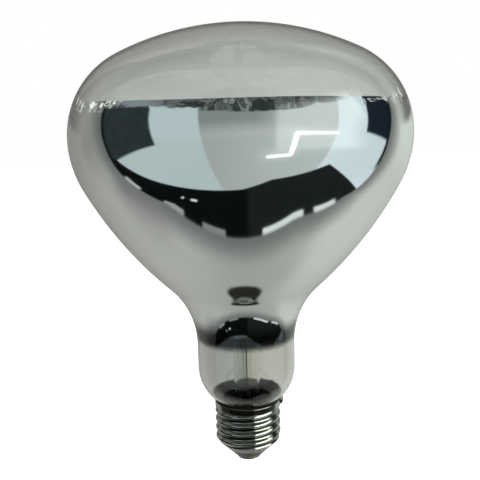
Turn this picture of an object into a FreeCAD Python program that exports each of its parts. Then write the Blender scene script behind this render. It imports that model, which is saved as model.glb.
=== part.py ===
import FreeCAD, Part
import math
import os
import Sketcher

# Infrared reflector lamp with a screw cap. Sizes are millimetres, heights are above the tip of
# the centre contact, and the lamp's axis is Z with the face upwards.

SIZES = {
    # Blown bulb
    "overall_length": 170.6,
    "bulb_diameter": 127.0,
    "crown_height": 40.4,
    "face_rise": 6.8,
    "flank_spacing": 9.1,
    "funnel_radius": 150.0,
    "throat_radius": 33.0,
    "neck_diameter": 38.3,
    "neck_straight": 9.7,
    "base_radius": 17.0,
    "rim_gap": 1.0,
    "glass_wall": 0.8,
    # Aluminium film on the inside of the bulb
    "film_thickness": 0.2,
    "film_rise": 13.6,
    "film_lift": 3.1,
    # Seal between bulb and stem
    "seal_radius": 11.0,
    "seal_bottom": 15.4,
    "flare_wall": 0.9,
    "flare_tube_radius": 5.3,
    # Pinch that holds the leads
    "press_bottom": 48.0,
    "press_flat": 53.0,
    "press_top": 58.0,
    "press_half_width": 6.0,
    "press_half_depth": 2.0,
    "lead_offset": 3.2,
    "seal_wire_radius": 0.25,
    "exhaust_radius": 2.1,
    "exhaust_wall": 0.5,
    "exhaust_tip": 10.0,
    # Mount of the filament, turned about the axis so that one lead stands in front
    "mount_turn": 90.0,
    "arbor_radius": 1.5,
    "button_radius": 3.0,
    "button_bottom": 86.0,
    "button_top": 91.0,
    "lead_radius": 0.5,
    "lead_straight": 4.0,
    "lead_bend": 5.0,
    "filament_height": 100.0,
    "filament_ring": 14.0,
    "filament_radius": 0.7,
    "filament_opening": 110.0,
    "support_radius": 0.25,
    "support_bend": 2.0,
    # Screw cap
    "cap_height": 25.5,
    "collar_radius": 13.05,
    "collar_length": 2.3,
    "shell_wall": 0.25,
    "thread_mean_radius": 12.56,
    "thread_depth": 1.04,
    "thread_pitch": 3.629,
    "thread_crest_height": 1.1,
    "lip_height": 5.6,
    "insulator_top": 8.0,
    "insulator_floor": 5.0,
    "insulator_bottom": 1.5,
    "insulator_rim": 2.0,
    "taper_bottom_radius": 5.0,
    "lead_hole_radius": 0.9,
    "contact_radius": 4.8,
    "contact_edge": 0.35,
    "solder_height": 0.9,
    "solder_radius": 3.2,
    "solder_flat": 2.0,
    # Cement and outer leads
    "cement_depth": 8.5,
    "cement_recess": 0.3,
    "cement_gap": 0.05,
    "outer_lead_radius": 0.2,
    "outer_lead_bend": 1.0,
    "side_lead_drop": 2.2,
    "side_lead_bend": 0.25,
    "side_solder_height": 4.8,
    "side_solder_width": 3.0,
    "side_solder_depth": 1.2,
    "side_solder_drop": 0.72,
}
SUPPORT_COUNT = 4
WIRE_OVER_RIM = 0.02
TIP_ANGLES = (30, 60)
THREAD_SPARE = 1.0

doc = FreeCAD.newDocument("heat_lamp")


class Size:
    """A length or angle together with the sheet formula that gives it."""

    def __init__(self, value, text):
        self.value = value
        self.text = text

    def __add__(self, other):
        other = as_size(other)
        return Size(self.value + other.value, f"({self.text} + {other.text})")

    def __sub__(self, other):
        other = as_size(other)
        return Size(self.value - other.value, f"({self.text} - {other.text})")

    def __mul__(self, other):
        other = as_size(other)
        return Size(self.value * other.value, f"({self.text} * {other.text})")

    def __truediv__(self, other):
        other = as_size(other)
        return Size(self.value / other.value, f"({self.text} / {other.text})")


def as_size(number):
    return number if isinstance(number, Size) else Size(float(number), repr(float(number)))


def root(size):
    return Size(math.sqrt(size.value), f"sqrt({size.text})")


def cosine(size):
    return Size(math.cos(math.radians(size.value)), f"cos({size.text} * 1 deg)")


def sine(size):
    return Size(math.sin(math.radians(size.value)), f"sin({size.text} * 1 deg)")


def make_sheet():
    sheet = doc.addObject("Spreadsheet::Sheet", "Sizes")
    for row, (name, value) in enumerate(SIZES.items(), start=1):
        sheet.set(f"A{row}", name)
        sheet.set(f"B{row}", str(value))
        sheet.setAlias(f"B{row}", name)
    doc.recompute()
    return sheet


make_sheet()


def size(name):
    return Size(SIZES[name], f"Sizes.{name}")


def bind(obj, target, value):
    """Ties a property of an object to the sheet."""
    obj.setExpression(target, as_size(value).text)


# Sketch helpers. A point is a pair of sizes: distance from the axis and height.

def new_body(name):
    body = doc.addObject("PartDesign::Body", name)
    body.Label = name
    return body


def new_sketch(body, name, role="XZ_Plane", lift=None):
    sketch = body.newObject("Sketcher::SketchObject", name)
    plane = next(item for item in body.Origin.OriginFeatures if item.Role == role)
    sketch.AttachmentSupport = [(plane, "")]
    sketch.MapMode = "FlatFace"
    if lift is not None:
        bind(sketch, ".AttachmentOffset.Base.z", lift)
    return sketch


def vector(point):
    return FreeCAD.Vector(as_size(point[0]).value, as_size(point[1]).value, 0)


def dimension(sketch, kind, where, value):
    """Adds one driving dimension and ties it to the sheet."""
    value = as_size(value)
    index = sketch.addConstraint(Sketcher.Constraint(kind, *where, value.value))
    sketch.setExpression(f"Constraints[{index}]", value.text)


def pin(sketch, geometry, end, point):
    """Holds one end of a line or arc at a point."""
    across, up = as_size(point[0]), as_size(point[1])
    if across.value == 0:
        sketch.addConstraint(Sketcher.Constraint("PointOnObject", geometry, end, -2))
    else:
        dimension(sketch, "DistanceX", (-1, 1, geometry, end), across)
    if up.value == 0:
        sketch.addConstraint(Sketcher.Constraint("PointOnObject", geometry, end, -1))
    else:
        dimension(sketch, "DistanceY", (-1, 1, geometry, end), up)


def add_arc(sketch, centre, radius, first, last):
    """Adds an arc that runs counter-clockwise from the angle first to the angle last."""
    circle = Part.Circle(FreeCAD.Vector(centre[0], centre[1], 0), FreeCAD.Vector(0, 0, 1), radius)
    return sketch.addGeometry(Part.ArcOfCircle(circle, first, last), False)


def join(sketch, first, first_end, second, second_end, kind="Coincident"):
    sketch.addConstraint(Sketcher.Constraint(kind, first, first_end, second, second_end))


def polygon(sketch, points):
    """Closed outline of straight lines through the points."""
    for index, point in enumerate(points):
        following = points[(index + 1) % len(points)]
        line = sketch.addGeometry(Part.LineSegment(vector(point), vector(following)), False)
        pin(sketch, line, 1, point)
    for index in range(len(points)):
        join(sketch, index, 2, (index + 1) % len(points), 1)


def revolve(body, sketch):
    turned = body.newObject("PartDesign::Revolution", body.Name + "_turned")
    turned.Profile = sketch
    turned.ReferenceAxis = (sketch, ["V_Axis"])
    turned.Angle = 360
    return turned


def turned_polygon(name, points):
    body = new_body(name)
    sketch = new_sketch(body, name + "_section")
    polygon(sketch, points)
    revolve(body, sketch)
    return body


def drilled_circle(sketch, centre, radius):
    circle = Part.Circle(vector(centre), FreeCAD.Vector(0, 0, 1), as_size(radius).value)
    index = sketch.addGeometry(circle, False)
    pin(sketch, index, 3, centre)
    dimension(sketch, "Radius", (index,), radius)


def corner_arc(before, corner, after, radius):
    """Ends and centre of the arc that rounds a corner."""
    back = (before - corner).normalize()
    ahead = (after - corner).normalize()
    half = back.getAngle(ahead) / 2
    reach = radius / math.tan(half)
    centre = corner + (back + ahead).normalize() * (radius / math.sin(half))
    return corner + back * reach, corner + ahead * reach, centre


def bent_wire(name, points, radius, bend):
    """Round wire along straight runs with rounded corners, in the body's XZ plane."""
    body = new_body(name)
    path = new_sketch(body, name + "_path")
    spots = [vector(point) for point in points]
    start = spots[0]
    previous = None
    bends = []
    for index in range(1, len(spots) - 1):
        entry, leave, centre = corner_arc(spots[index - 1], spots[index], spots[index + 1],
                                          as_size(bend).value)
        line = path.addGeometry(Part.LineSegment(start, entry), False)
        if previous is not None:
            join(path, previous[0], previous[1], line, 1, "Tangent")
        ahead = (spots[index] - spots[index - 1]).cross(spots[index + 1] - spots[index]).z > 0
        ends = (entry, leave) if ahead else (leave, entry)
        angles = [math.atan2(end.y - centre.y, end.x - centre.x) for end in ends]
        if angles[1] < angles[0]:
            angles[1] += 2 * math.pi
        arc = add_arc(path, (centre.x, centre.y), as_size(bend).value, *angles)
        join(path, line, 2, arc, 1 if ahead else 2, "Tangent")
        dimension(path, "Radius", (arc,), bend)
        bends.append((line, index))
        previous = (arc, 2 if ahead else 1)
        start = leave
    last = path.addGeometry(Part.LineSegment(start, spots[-1]), False)
    if previous is not None:
        join(path, previous[0], previous[1], last, 1, "Tangent")
    lines = [line for line, _ in bends] + [last]
    pin(path, lines[0], 1, points[0])
    pin(path, last, 2, points[-1])
    for order, (line, index) in enumerate(bends):
        corner = path.addGeometry(Part.Point(spots[index]), True)
        pin(path, corner, 1, points[index])
        path.addConstraint(Sketcher.Constraint("PointOnObject", corner, 1, line))
        path.addConstraint(Sketcher.Constraint("PointOnObject", corner, 1, lines[order + 1]))
    ring = new_sketch(body, name + "_ring", "XY_Plane", points[0][1])
    drilled_circle(ring, (points[0][0], as_size(0)), radius)
    pipe = body.newObject("PartDesign::AdditivePipe", name + "_drawn")
    pipe.Profile = ring
    pipe.Spine = path
    return body


# Blown bulb. Its meridian is seven tangent pieces: base arc, neck, throat, funnel, flank,
# shoulder and face. Every layer of the wall follows the same meridian at its own depth.

def neck_bottom():
    """Height at which the base arc starts, so that it passes the cap's rim with its gap."""
    across = size("neck_diameter") / 2 - size("collar_radius") + size("shell_wall") + size("rim_gap")
    return size("cap_height") + root(across * size("base_radius") * 2 - across * across)


def neck_top():
    return neck_bottom() + size("neck_straight")


def widest_height():
    """The crown is the part of the bulb above its widest place."""
    return size("overall_length") - size("crown_height")


def shoulder_radius():
    """The face rises a little above the shoulder's own arc."""
    return size("crown_height") - size("face_rise")


def flank_radius():
    """Flank and throat share the height of the funnel and leave the spacing between them."""
    height = widest_height() - neck_top()
    return height - size("throat_radius") - size("flank_spacing")


def meridian(depth):
    """Radii and centres of the meridian at a depth below the outer face of the glass."""
    deep = as_size(depth).value
    widest = SIZES["bulb_diameter"] / 2 - deep
    neck = SIZES["neck_diameter"] / 2 - deep
    level = widest_height().value
    radius = {
        "base": SIZES["base_radius"] - deep,
        "throat": SIZES["throat_radius"] + deep,
        "funnel": SIZES["funnel_radius"] - deep,
        "flank": flank_radius().value - deep,
        "shoulder": shoulder_radius().value - deep,
    }
    centre = {
        "base": (neck - radius["base"], neck_bottom().value),
        "throat": (neck + radius["throat"], neck_top().value),
        "flank": (widest - radius["flank"], level),
        "shoulder": (widest - radius["shoulder"], level),
    }
    # The funnel's circle holds the flank's inside and touches the throat's outside
    across = centre["throat"][0] - centre["flank"][0]
    up = centre["throat"][1] - centre["flank"][1]
    apart = math.hypot(across, up)
    to_flank = radius["funnel"] - radius["flank"]
    to_throat = radius["funnel"] + radius["throat"]
    along = (to_flank ** 2 - to_throat ** 2 + apart ** 2) / (2 * apart)
    aside = math.sqrt(to_flank ** 2 - along ** 2)
    centre["funnel"] = (
        centre["flank"][0] + (along * across + aside * up) / apart,
        centre["flank"][1] + (along * up - aside * across) / apart,
    )
    # The face's circle is centred on the axis and holds the shoulder's inside
    rise = SIZES["overall_length"] - deep - level - radius["shoulder"]
    drop = (centre["shoulder"][0] ** 2 - rise ** 2) / (2 * rise)
    centre["face"] = (0.0, level - drop)
    radius["face"] = SIZES["overall_length"] - deep - level + drop
    return radius, centre


def bearing(start, end):
    return math.atan2(end[1] - start[1], end[0] - start[0])


def draw_wall(sketch, depth, lower, film_top=None):
    """Draws the meridian at a depth, for the glass from the seal's lower height to the apex, and
    for the film from a lower height on the throat up to film_top.

    Returns the first and last geometry with their open ends.
    """
    radius, centre = meridian(depth)
    to_funnel = bearing(centre["flank"], centre["funnel"]) + math.pi
    to_throat = bearing(centre["throat"], centre["funnel"])
    to_face = bearing(centre["face"], centre["shoulder"])
    neck = size("neck_diameter") / 2 - depth
    widest = size("bulb_diameter") / 2 - depth
    throat_end = math.pi
    if film_top is not None:
        throat_end -= math.asin((lower.value - centre["throat"][1]) / radius["throat"])
    throat = add_arc(sketch, centre["throat"], radius["throat"], to_throat, throat_end)
    flank_start = to_funnel if to_funnel < math.pi else to_funnel - 2 * math.pi
    funnel_start = to_throat - math.pi
    funnel = add_arc(sketch, centre["funnel"], radius["funnel"], funnel_start, flank_start)
    flank = add_arc(sketch, centre["flank"], radius["flank"], flank_start, 0)
    shoulder_end = to_face
    if film_top is not None:
        climb = as_size(film_top).value - centre["shoulder"][1]
        shoulder_end = math.asin(climb / radius["shoulder"])
    shoulder = add_arc(sketch, centre["shoulder"], radius["shoulder"], 0, shoulder_end)
    join(sketch, throat, 1, funnel, 1, "Tangent")
    join(sketch, funnel, 2, flank, 1, "Tangent")
    join(sketch, flank, 2, shoulder, 1, "Tangent")
    dimension(sketch, "Radius", (throat,), size("throat_radius") + depth)
    dimension(sketch, "Radius", (funnel,), size("funnel_radius") - depth)
    dimension(sketch, "Radius", (flank,), flank_radius() - depth)
    dimension(sketch, "Radius", (shoulder,), shoulder_radius() - depth)
    pin(sketch, flank, 2, (widest, widest_height()))
    dimension(sketch, "DistanceY", (-1, 1, flank, 3), widest_height())
    if film_top is not None:
        pin(sketch, throat, 3, (neck + size("throat_radius") + depth, neck_top()))
        dimension(sketch, "DistanceY", (-1, 1, throat, 2), lower)
        dimension(sketch, "DistanceY", (-1, 1, shoulder, 2), film_top)
        return (throat, 2), (shoulder, 2)

    line = Part.LineSegment(vector((neck, neck_bottom())), vector((neck, neck_top())))
    neck_line = sketch.addGeometry(line, False)
    sketch.addConstraint(Sketcher.Constraint("Vertical", neck_line))
    join(sketch, neck_line, 2, throat, 2, "Tangent")
    pin(sketch, neck_line, 1, (neck, neck_bottom()))
    dimension(sketch, "DistanceY", (-1, 1, neck_line, 2), neck_top())
    face = add_arc(sketch, centre["face"], radius["face"], to_face, math.pi / 2)
    join(sketch, shoulder, 2, face, 1, "Tangent")
    sketch.addConstraint(Sketcher.Constraint("PointOnObject", face, 3, -2))
    pin(sketch, face, 2, (as_size(0), size("overall_length") - depth))
    seal = size("seal_radius") - depth
    base_start = -math.acos((seal.value - centre["base"][0]) / radius["base"])
    base = add_arc(sketch, centre["base"], radius["base"], base_start, 0)
    join(sketch, base, 2, neck_line, 1, "Tangent")
    dimension(sketch, "Radius", (base,), size("base_radius") - depth)
    dimension(sketch, "DistanceX", (-1, 1, base, 1), seal)
    foot = centre["base"][1] + radius["base"] * math.sin(base_start)
    line = Part.LineSegment(vector((seal, lower)), FreeCAD.Vector(seal.value, foot, 0))
    seal_line = sketch.addGeometry(line, False)
    sketch.addConstraint(Sketcher.Constraint("Vertical", seal_line))
    join(sketch, seal_line, 2, base, 1)
    dimension(sketch, "DistanceY", (-1, 1, seal_line, 1), lower)
    return (seal_line, 1), (face, 2)


def close_wall(sketch, outer, inner):
    """Joins the open ends of two meridians with straight edges."""
    for outside, inside in zip(outer, inner):
        ends = [sketch.getPoint(*end) for end in (outside, inside)]
        edge = sketch.addGeometry(Part.LineSegment(*ends), False)
        join(sketch, edge, 1, *outside)
        join(sketch, edge, 2, *inside)


def make_envelope():
    body = new_body("glass_envelope")
    sketch = new_sketch(body, "glass_section")
    outer = draw_wall(sketch, as_size(0), size("seal_bottom"))
    inner = draw_wall(sketch, size("glass_wall"), size("seal_bottom"))
    close_wall(sketch, outer, inner)
    revolve(body, sketch)
    return body


def make_film():
    body = new_body("reflector_coating")
    sketch = new_sketch(body, "film_section")
    depth = size("glass_wall")
    limits = (neck_top() + size("film_lift"), widest_height() + size("film_rise"))
    outer = draw_wall(sketch, depth, *limits)
    inner = draw_wall(sketch, depth + size("film_thickness"), *limits)
    close_wall(sketch, outer, inner)
    revolve(body, sketch)


# Stem: flared tube with a pinch, exhaust tube, arbor and the wires sealed through the pinch.
# Pinch, wires and filament share one turn about the axis.

def turned(piece, angle=0.0, foot=0):
    """Turns a piece of the mount about the axis, with its foot at a distance from it."""
    turn = size("mount_turn")
    foot = as_size(foot)
    axis = FreeCAD.Vector(0, 0, 1)
    piece.Placement.Rotation = FreeCAD.Rotation(axis, turn.value + angle)
    bind(piece, "Placement.Base.x", foot * cosine(turn))
    bind(piece, "Placement.Base.y", foot * sine(turn))


def make_stem():
    body = new_body("stem_flare")
    section = new_sketch(body, "flare_section")
    wall = size("flare_wall")
    rim = size("seal_radius") - size("glass_wall")
    tube = size("flare_tube_radius")
    bore = tube - wall
    bottom = size("seal_bottom")
    inner_bend = rim - tube
    outer_bend = inner_bend + wall
    level = bottom + outer_bend
    top = size("press_bottom")
    upper = add_arc(section, vector((rim, level))[:2], inner_bend.value, math.pi, 1.5 * math.pi)
    lower = add_arc(section, vector((rim, level))[:2], outer_bend.value, math.pi, 1.5 * math.pi)
    edge = section.addGeometry(
        Part.LineSegment(vector((rim, bottom + wall)), vector((rim, bottom))), False)
    outside = section.addGeometry(
        Part.LineSegment(vector((tube, level)), vector((tube, top))), False)
    cap = section.addGeometry(
        Part.LineSegment(vector((tube, top)), vector((bore, top))), False)
    inside = section.addGeometry(
        Part.LineSegment(vector((bore, top)), vector((bore, level))), False)
    join(section, upper, 2, edge, 1)
    join(section, edge, 2, lower, 2)
    join(section, upper, 1, outside, 1, "Tangent")
    join(section, outside, 2, cap, 1)
    join(section, cap, 2, inside, 1)
    join(section, inside, 2, lower, 1, "Tangent")
    join(section, upper, 3, lower, 3)
    pin(section, upper, 3, (rim, level))
    pin(section, outside, 2, (tube, top))
    pin(section, inside, 1, (bore, top))
    section.addConstraint(Sketcher.Constraint("Vertical", outside))
    section.addConstraint(Sketcher.Constraint("Vertical", inside))
    dimension(section, "DistanceX", (-1, 1, edge, 1), rim)
    dimension(section, "DistanceX", (-1, 1, edge, 2), rim)
    revolve(body, section)

    round_end = new_sketch(body, "press_round", "XY_Plane", top)
    drilled_circle(round_end, (as_size(0), as_size(0)), tube)
    flat_end = new_sketch(body, "press_oval", "XY_Plane", size("press_flat"))
    draw_oval(flat_end, size("press_half_width"), size("press_half_depth"))
    pinch = body.newObject("PartDesign::AdditiveLoft", "pinch")
    pinch.Profile = round_end
    pinch.Sections = [flat_end]
    blade_end = new_sketch(body, "press_blade", "XY_Plane", size("press_flat"))
    draw_oval(blade_end, size("press_half_width"), size("press_half_depth"))
    blade = body.newObject("PartDesign::Pad", "blade")
    blade.Profile = blade_end
    bind(blade, "Length", size("press_top") - size("press_flat"))
    holes = new_sketch(body, "wire_holes", "XY_Plane", size("press_top"))
    for side in (-1, 1):
        drilled_circle(holes, (size("lead_offset") * side, as_size(0)), size("seal_wire_radius"))
    channel = body.newObject("PartDesign::Pocket", "wire_channels")
    channel.Profile = holes
    bind(channel, "Length", size("press_top") - size("press_bottom"))
    turned(body)


def draw_oval(sketch, half_width, half_depth):
    """Ellipse about the axis with its long side across the lamp."""
    centre = FreeCAD.Vector(0, 0, 0)
    width, depth = half_width.value, half_depth.value
    oval = Part.Ellipse(FreeCAD.Vector(width, 0, 0), FreeCAD.Vector(0, depth, 0), centre)
    index = sketch.addGeometry(oval, False)
    sketch.exposeInternalGeometry(index)
    long_axis, short_axis = index + 1, index + 2
    join(sketch, index, 3, -1, 1)
    sketch.addConstraint(Sketcher.Constraint("PointOnObject", long_axis, 1, -1))
    dimension(sketch, "Distance", (long_axis,), half_width * 2)
    dimension(sketch, "Distance", (short_axis,), half_depth * 2)


def rounded_tip(radius, foot):
    """Corners of a closed tube's end, from the axis outwards."""
    corners = [(as_size(0), foot)]
    for angle in TIP_ANGLES:
        turn = as_size(angle)
        corners.append((radius * sine(turn), foot + radius * (as_size(1) - cosine(turn))))
    return corners + [(radius, foot + radius)]


def make_exhaust():
    outer = size("exhaust_radius")
    inner = outer - size("exhaust_wall")
    tip = size("exhaust_tip")
    top = size("press_bottom")
    outside = rounded_tip(outer, tip)
    inside = rounded_tip(inner, tip + size("exhaust_wall"))
    turned_polygon("exhaust_tube", outside + [(outer, top), (inner, top)] + inside[::-1])


def make_arbor():
    rod = size("arbor_radius")
    button = size("button_radius")
    low = size("button_bottom")
    high = size("button_top")
    edge = (button - rod) / 2
    turned_polygon("arbor_rod", [
        (as_size(0), size("press_top")),
        (rod, size("press_top")),
        (rod, low),
        (button - edge / 2, low + edge / 2),
        (button, low + edge * 1.5),
        (button, high - edge * 1.5),
        (button - edge / 2, high - edge / 2),
        (rod, high),
        (as_size(0), high),
    ])


def make_seal_wires():
    for side, name in ((-1, "left"), (1, "right")):
        wire = doc.addObject("Part::Cylinder", f"seal_wire_{name}")
        wire.Label = f"seal_wire_{name}"
        bind(wire, "Radius", size("seal_wire_radius"))
        bind(wire, "Height", size("press_top") - size("press_bottom"))
        bind(wire, "Placement.Base.z", size("press_bottom"))
        turned(wire, 0.0, size("lead_offset") * side)


# Filament and what carries it

def make_leads():
    """Two inner leads, each bent in an upright plane from the pinch to its end of the filament."""
    opening = size("filament_opening") / 2
    ring = size("filament_ring")
    across = ring * sine(opening) - size("lead_offset")
    forward = ring * cosine(opening)
    reach = root(across * across + forward * forward)
    foot = size("press_top")
    top = size("filament_height") - size("filament_radius")
    lean = math.degrees(math.atan2(forward.value, across.value))
    for side, name in ((-1, "left"), (1, "right")):
        points = [
            (as_size(0), foot),
            (as_size(0), foot + size("lead_straight")),
            (reach, top - size("lead_straight") * 2),
            (reach, top),
        ]
        body = bent_wire(f"lead_wire_{name}", points, size("lead_radius"), size("lead_bend"))
        turned(body, -lean if side > 0 else 180 + lean, size("lead_offset") * side)


def make_filament():
    """Outer form of the coiled tungsten wire: a ring that is open between the leads."""
    ring = doc.addObject("Part::Torus", "filament")
    ring.Label = "filament"
    bind(ring, "Radius1", size("filament_ring"))
    bind(ring, "Radius2", size("filament_radius"))
    bind(ring, "Angle3", as_size(360) - size("filament_opening"))
    bind(ring, "Placement.Base.z", size("filament_height"))
    turned(ring, SIZES["filament_opening"] / 2 - 90)


def make_supports():
    """Support wires from the button to the filament, evenly spaced between the leads."""
    start = SIZES["filament_opening"] / 2 - 90
    step = (360 - SIZES["filament_opening"]) / (SUPPORT_COUNT + 1)
    middle = (size("button_bottom") + size("button_top")) / 2
    top = size("filament_height") - size("filament_radius")
    for number in range(1, SUPPORT_COUNT + 1):
        points = [
            (size("filament_ring"), top),
            (size("filament_ring"), middle),
            (size("button_radius"), middle),
        ]
        body = bent_wire(f"support_wire_{number}", points, size("support_radius"),
                         size("support_bend"))
        turned(body, start + step * number)


# Screw cap. The rolled thread is the path of a round section whose centre climbs a thin helix
# while the section keeps its direction, which gives the smooth rounded ridges of a lamp cap.

def quartered_circle(sketch, centre, radius):
    """Circle about a point on the X axis, drawn as four arcs."""
    quarter = math.pi / 2
    zero = as_size(0)
    corners = [(centre + radius, zero), (centre, radius), (centre - radius, zero),
               (centre, radius * -1)]
    arcs = [add_arc(sketch, (centre.value, 0), radius.value, quarter * turn, quarter * (turn + 1))
            for turn in range(len(corners))]
    for index, arc in enumerate(arcs):
        join(sketch, arc, 2, arcs[(index + 1) % len(arcs)], 1)
        pin(sketch, arc, 1, corners[index])
        dimension(sketch, "Radius", (arc,), radius)


def rolled_thread(name, radius):
    offset = size("thread_depth") / 2
    crest = size("thread_crest_height")
    spine = doc.addObject("Part::Helix", name + "_spine")
    bind(spine, "Radius", offset)
    bind(spine, "Pitch", size("thread_pitch"))
    bind(spine, "Height", size("cap_height") + THREAD_SPARE - crest)
    bind(spine, "Placement.Base.z", crest)
    body = new_body(name)
    section = new_sketch(body, name + "_section", "XY_Plane", crest)
    quartered_circle(section, offset, radius)
    thread = body.newObject("PartDesign::AdditivePipe", name + "_drawn")
    thread.Profile = section
    thread.Spine = (spine, ["Edge1"])
    thread.Mode = "Fixed"
    return body


def shell_solid(name, depth):
    """Solid within one face of the screw shell: threaded part, taper and collar.

    Depth is nothing for the outer face and the sheet's thickness for the inner face, which runs
    on past both ends.
    """
    depth = as_size(depth)
    over = as_size(THREAD_SPARE if depth.value else 0)
    slant = root(as_size(2)) * depth
    lip = size("lip_height") - over
    lip_radius = size("taper_bottom_radius") + lip - size("insulator_bottom") - slant
    top = size("cap_height") - size("collar_length")
    crest = size("thread_mean_radius") + size("thread_depth")
    minor = size("thread_mean_radius") - size("thread_depth") / 2 - depth
    collar = size("collar_radius") - depth
    zone = turned_polygon(name + "_zone", [
        (as_size(0), lip),
        (lip_radius, lip),
        (crest, lip + crest - lip_radius),
        (crest, top),
        (as_size(0), top),
    ])
    collar_body = turned_polygon(name + "_collar", [
        (as_size(0), top - collar + minor),
        (minor, top - collar + minor),
        (collar, top),
        (collar, size("cap_height") + over),
        (as_size(0), size("cap_height") + over),
    ])
    thread = rolled_thread(name + "_thread", size("thread_mean_radius") - depth)
    threaded = doc.addObject("Part::MultiCommon", name + "_threaded")
    threaded.Shapes = [zone, thread]
    whole = doc.addObject("Part::Fuse", name)
    whole.Base = threaded
    whole.Tool = collar_body
    return whole


def make_shell():
    outer = shell_solid("shell_outside", as_size(0))
    inner = shell_solid("shell_inside", size("shell_wall"))
    shell = doc.addObject("Part::Cut", "screw_shell")
    shell.Label = "screw_shell"
    shell.Base = outer
    shell.Tool = inner
    return outer


def make_insulator():
    """Black glass plug: a cone below the shell's lip and a seat inside it."""
    bottom = size("insulator_bottom")
    low = size("taper_bottom_radius")
    lip = size("lip_height")
    lip_radius = low + lip - bottom
    seat = lip_radius - root(as_size(2)) * size("shell_wall")
    top = size("insulator_top")
    floor = size("insulator_floor")
    hole = size("lead_hole_radius")
    width = size("insulator_rim")
    rim = seat + top - lip
    turned_polygon("cap_insulator", [
        (hole, bottom),
        (low, bottom),
        (lip_radius, lip),
        (seat, lip),
        (rim, top),
        (rim - width, top),
        (rim - width - top + floor, floor),
        (hole, floor),
    ])


def make_contact():
    bottom = size("solder_height")
    top = size("insulator_bottom")
    edge = size("contact_edge")
    turned_polygon("centre_contact", [
        (size("lead_hole_radius"), bottom),
        (size("contact_radius") - edge, bottom),
        (size("contact_radius"), bottom + edge),
        (size("contact_radius"), top),
        (size("lead_hole_radius"), top),
    ])


def make_centre_solder():
    """Drop of solder with a small flat at the tip and a round flank."""
    body = new_body("centre_solder")
    sketch = new_sketch(body, "drop_section")
    flat = size("solder_flat")
    rim = size("solder_radius")
    height = size("solder_height")
    spread = rim - flat
    bulge = (spread * spread + height * height) / (height * 2)
    level = (flat.value, bulge.value)
    base = sketch.addGeometry(Part.LineSegment(vector((0, 0)), vector((flat, 0))), False)
    end = bearing(level, (rim.value, height.value))
    flank = add_arc(sketch, level, bulge.value, -math.pi / 2, end)
    lid = sketch.addGeometry(Part.LineSegment(vector((rim, height)), vector((0, height))), False)
    core = sketch.addGeometry(Part.LineSegment(vector((0, height)), vector((0, 0))), False)
    join(sketch, base, 2, flank, 1, "Tangent")
    join(sketch, flank, 2, lid, 1)
    join(sketch, lid, 2, core, 1)
    join(sketch, core, 2, base, 1)
    pin(sketch, base, 1, (0, 0))
    sketch.addConstraint(Sketcher.Constraint("Horizontal", base))
    dimension(sketch, "DistanceX", (-1, 1, base, 2), flat)
    pin(sketch, lid, 1, (rim, height))
    pin(sketch, lid, 2, (0, height))
    revolve(body, sketch)


# Cement, outer leads and the solder at the rim

def make_side_lead():
    """Lead from the pinch, down the stem, under the seal and up over the rim of the shell.

    It lies in the upright plane that holds its foot and the solder's place on the rim.
    """
    turn = size("mount_turn")
    foot = size("lead_offset")
    goal = size("collar_radius")
    run = root(goal * goal + foot * foot - goal * foot * cosine(turn) * 2)
    nearest = foot * (foot - goal * cosine(turn)) / run
    clear = foot * goal * sine(turn) / run

    def along(radius):
        """Distance from the foot at which the plane reaches a radius about the axis."""
        return nearest + root(radius * radius - clear * clear)

    bottom = size("seal_bottom") - size("side_lead_drop")
    minor = size("thread_mean_radius") - size("thread_depth") / 2 - size("shell_wall")
    climb = (size("seal_radius") + minor) / 2
    over = size("cap_height") + size("outer_lead_radius") + WIRE_OVER_RIM
    rim = size("collar_radius") - size("shell_wall")
    points = [
        (as_size(0), size("press_bottom")),
        (as_size(0), bottom),
        (along(climb), bottom),
        (along(climb), size("cap_height") - size("collar_length")),
        (along(rim - size("outer_lead_radius")), over),
        (along(rim + size("shell_wall") + size("outer_lead_radius")), over),
    ]
    body = bent_wire("outer_lead_side", points, size("outer_lead_radius"), size("side_lead_bend"))
    start = (foot.value * math.cos(math.radians(turn.value)),
             foot.value * math.sin(math.radians(turn.value)))
    turned(body, math.degrees(bearing(start, (goal.value, 0.0))) - turn.value, foot)
    return body


def make_centre_lead():
    """Lead from the pinch, down the stem and through the insulator to the drop of solder."""
    clear = size("exhaust_tip") - size("outer_lead_bend")
    body = bent_wire("outer_lead_centre", [
        (size("lead_offset") * -1, size("press_bottom")),
        (size("lead_offset") * -1, clear),
        (as_size(0), clear - size("lead_offset")),
        (as_size(0), size("solder_height")),
    ], size("outer_lead_radius"), size("outer_lead_bend"))
    turned(body)
    return body


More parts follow.
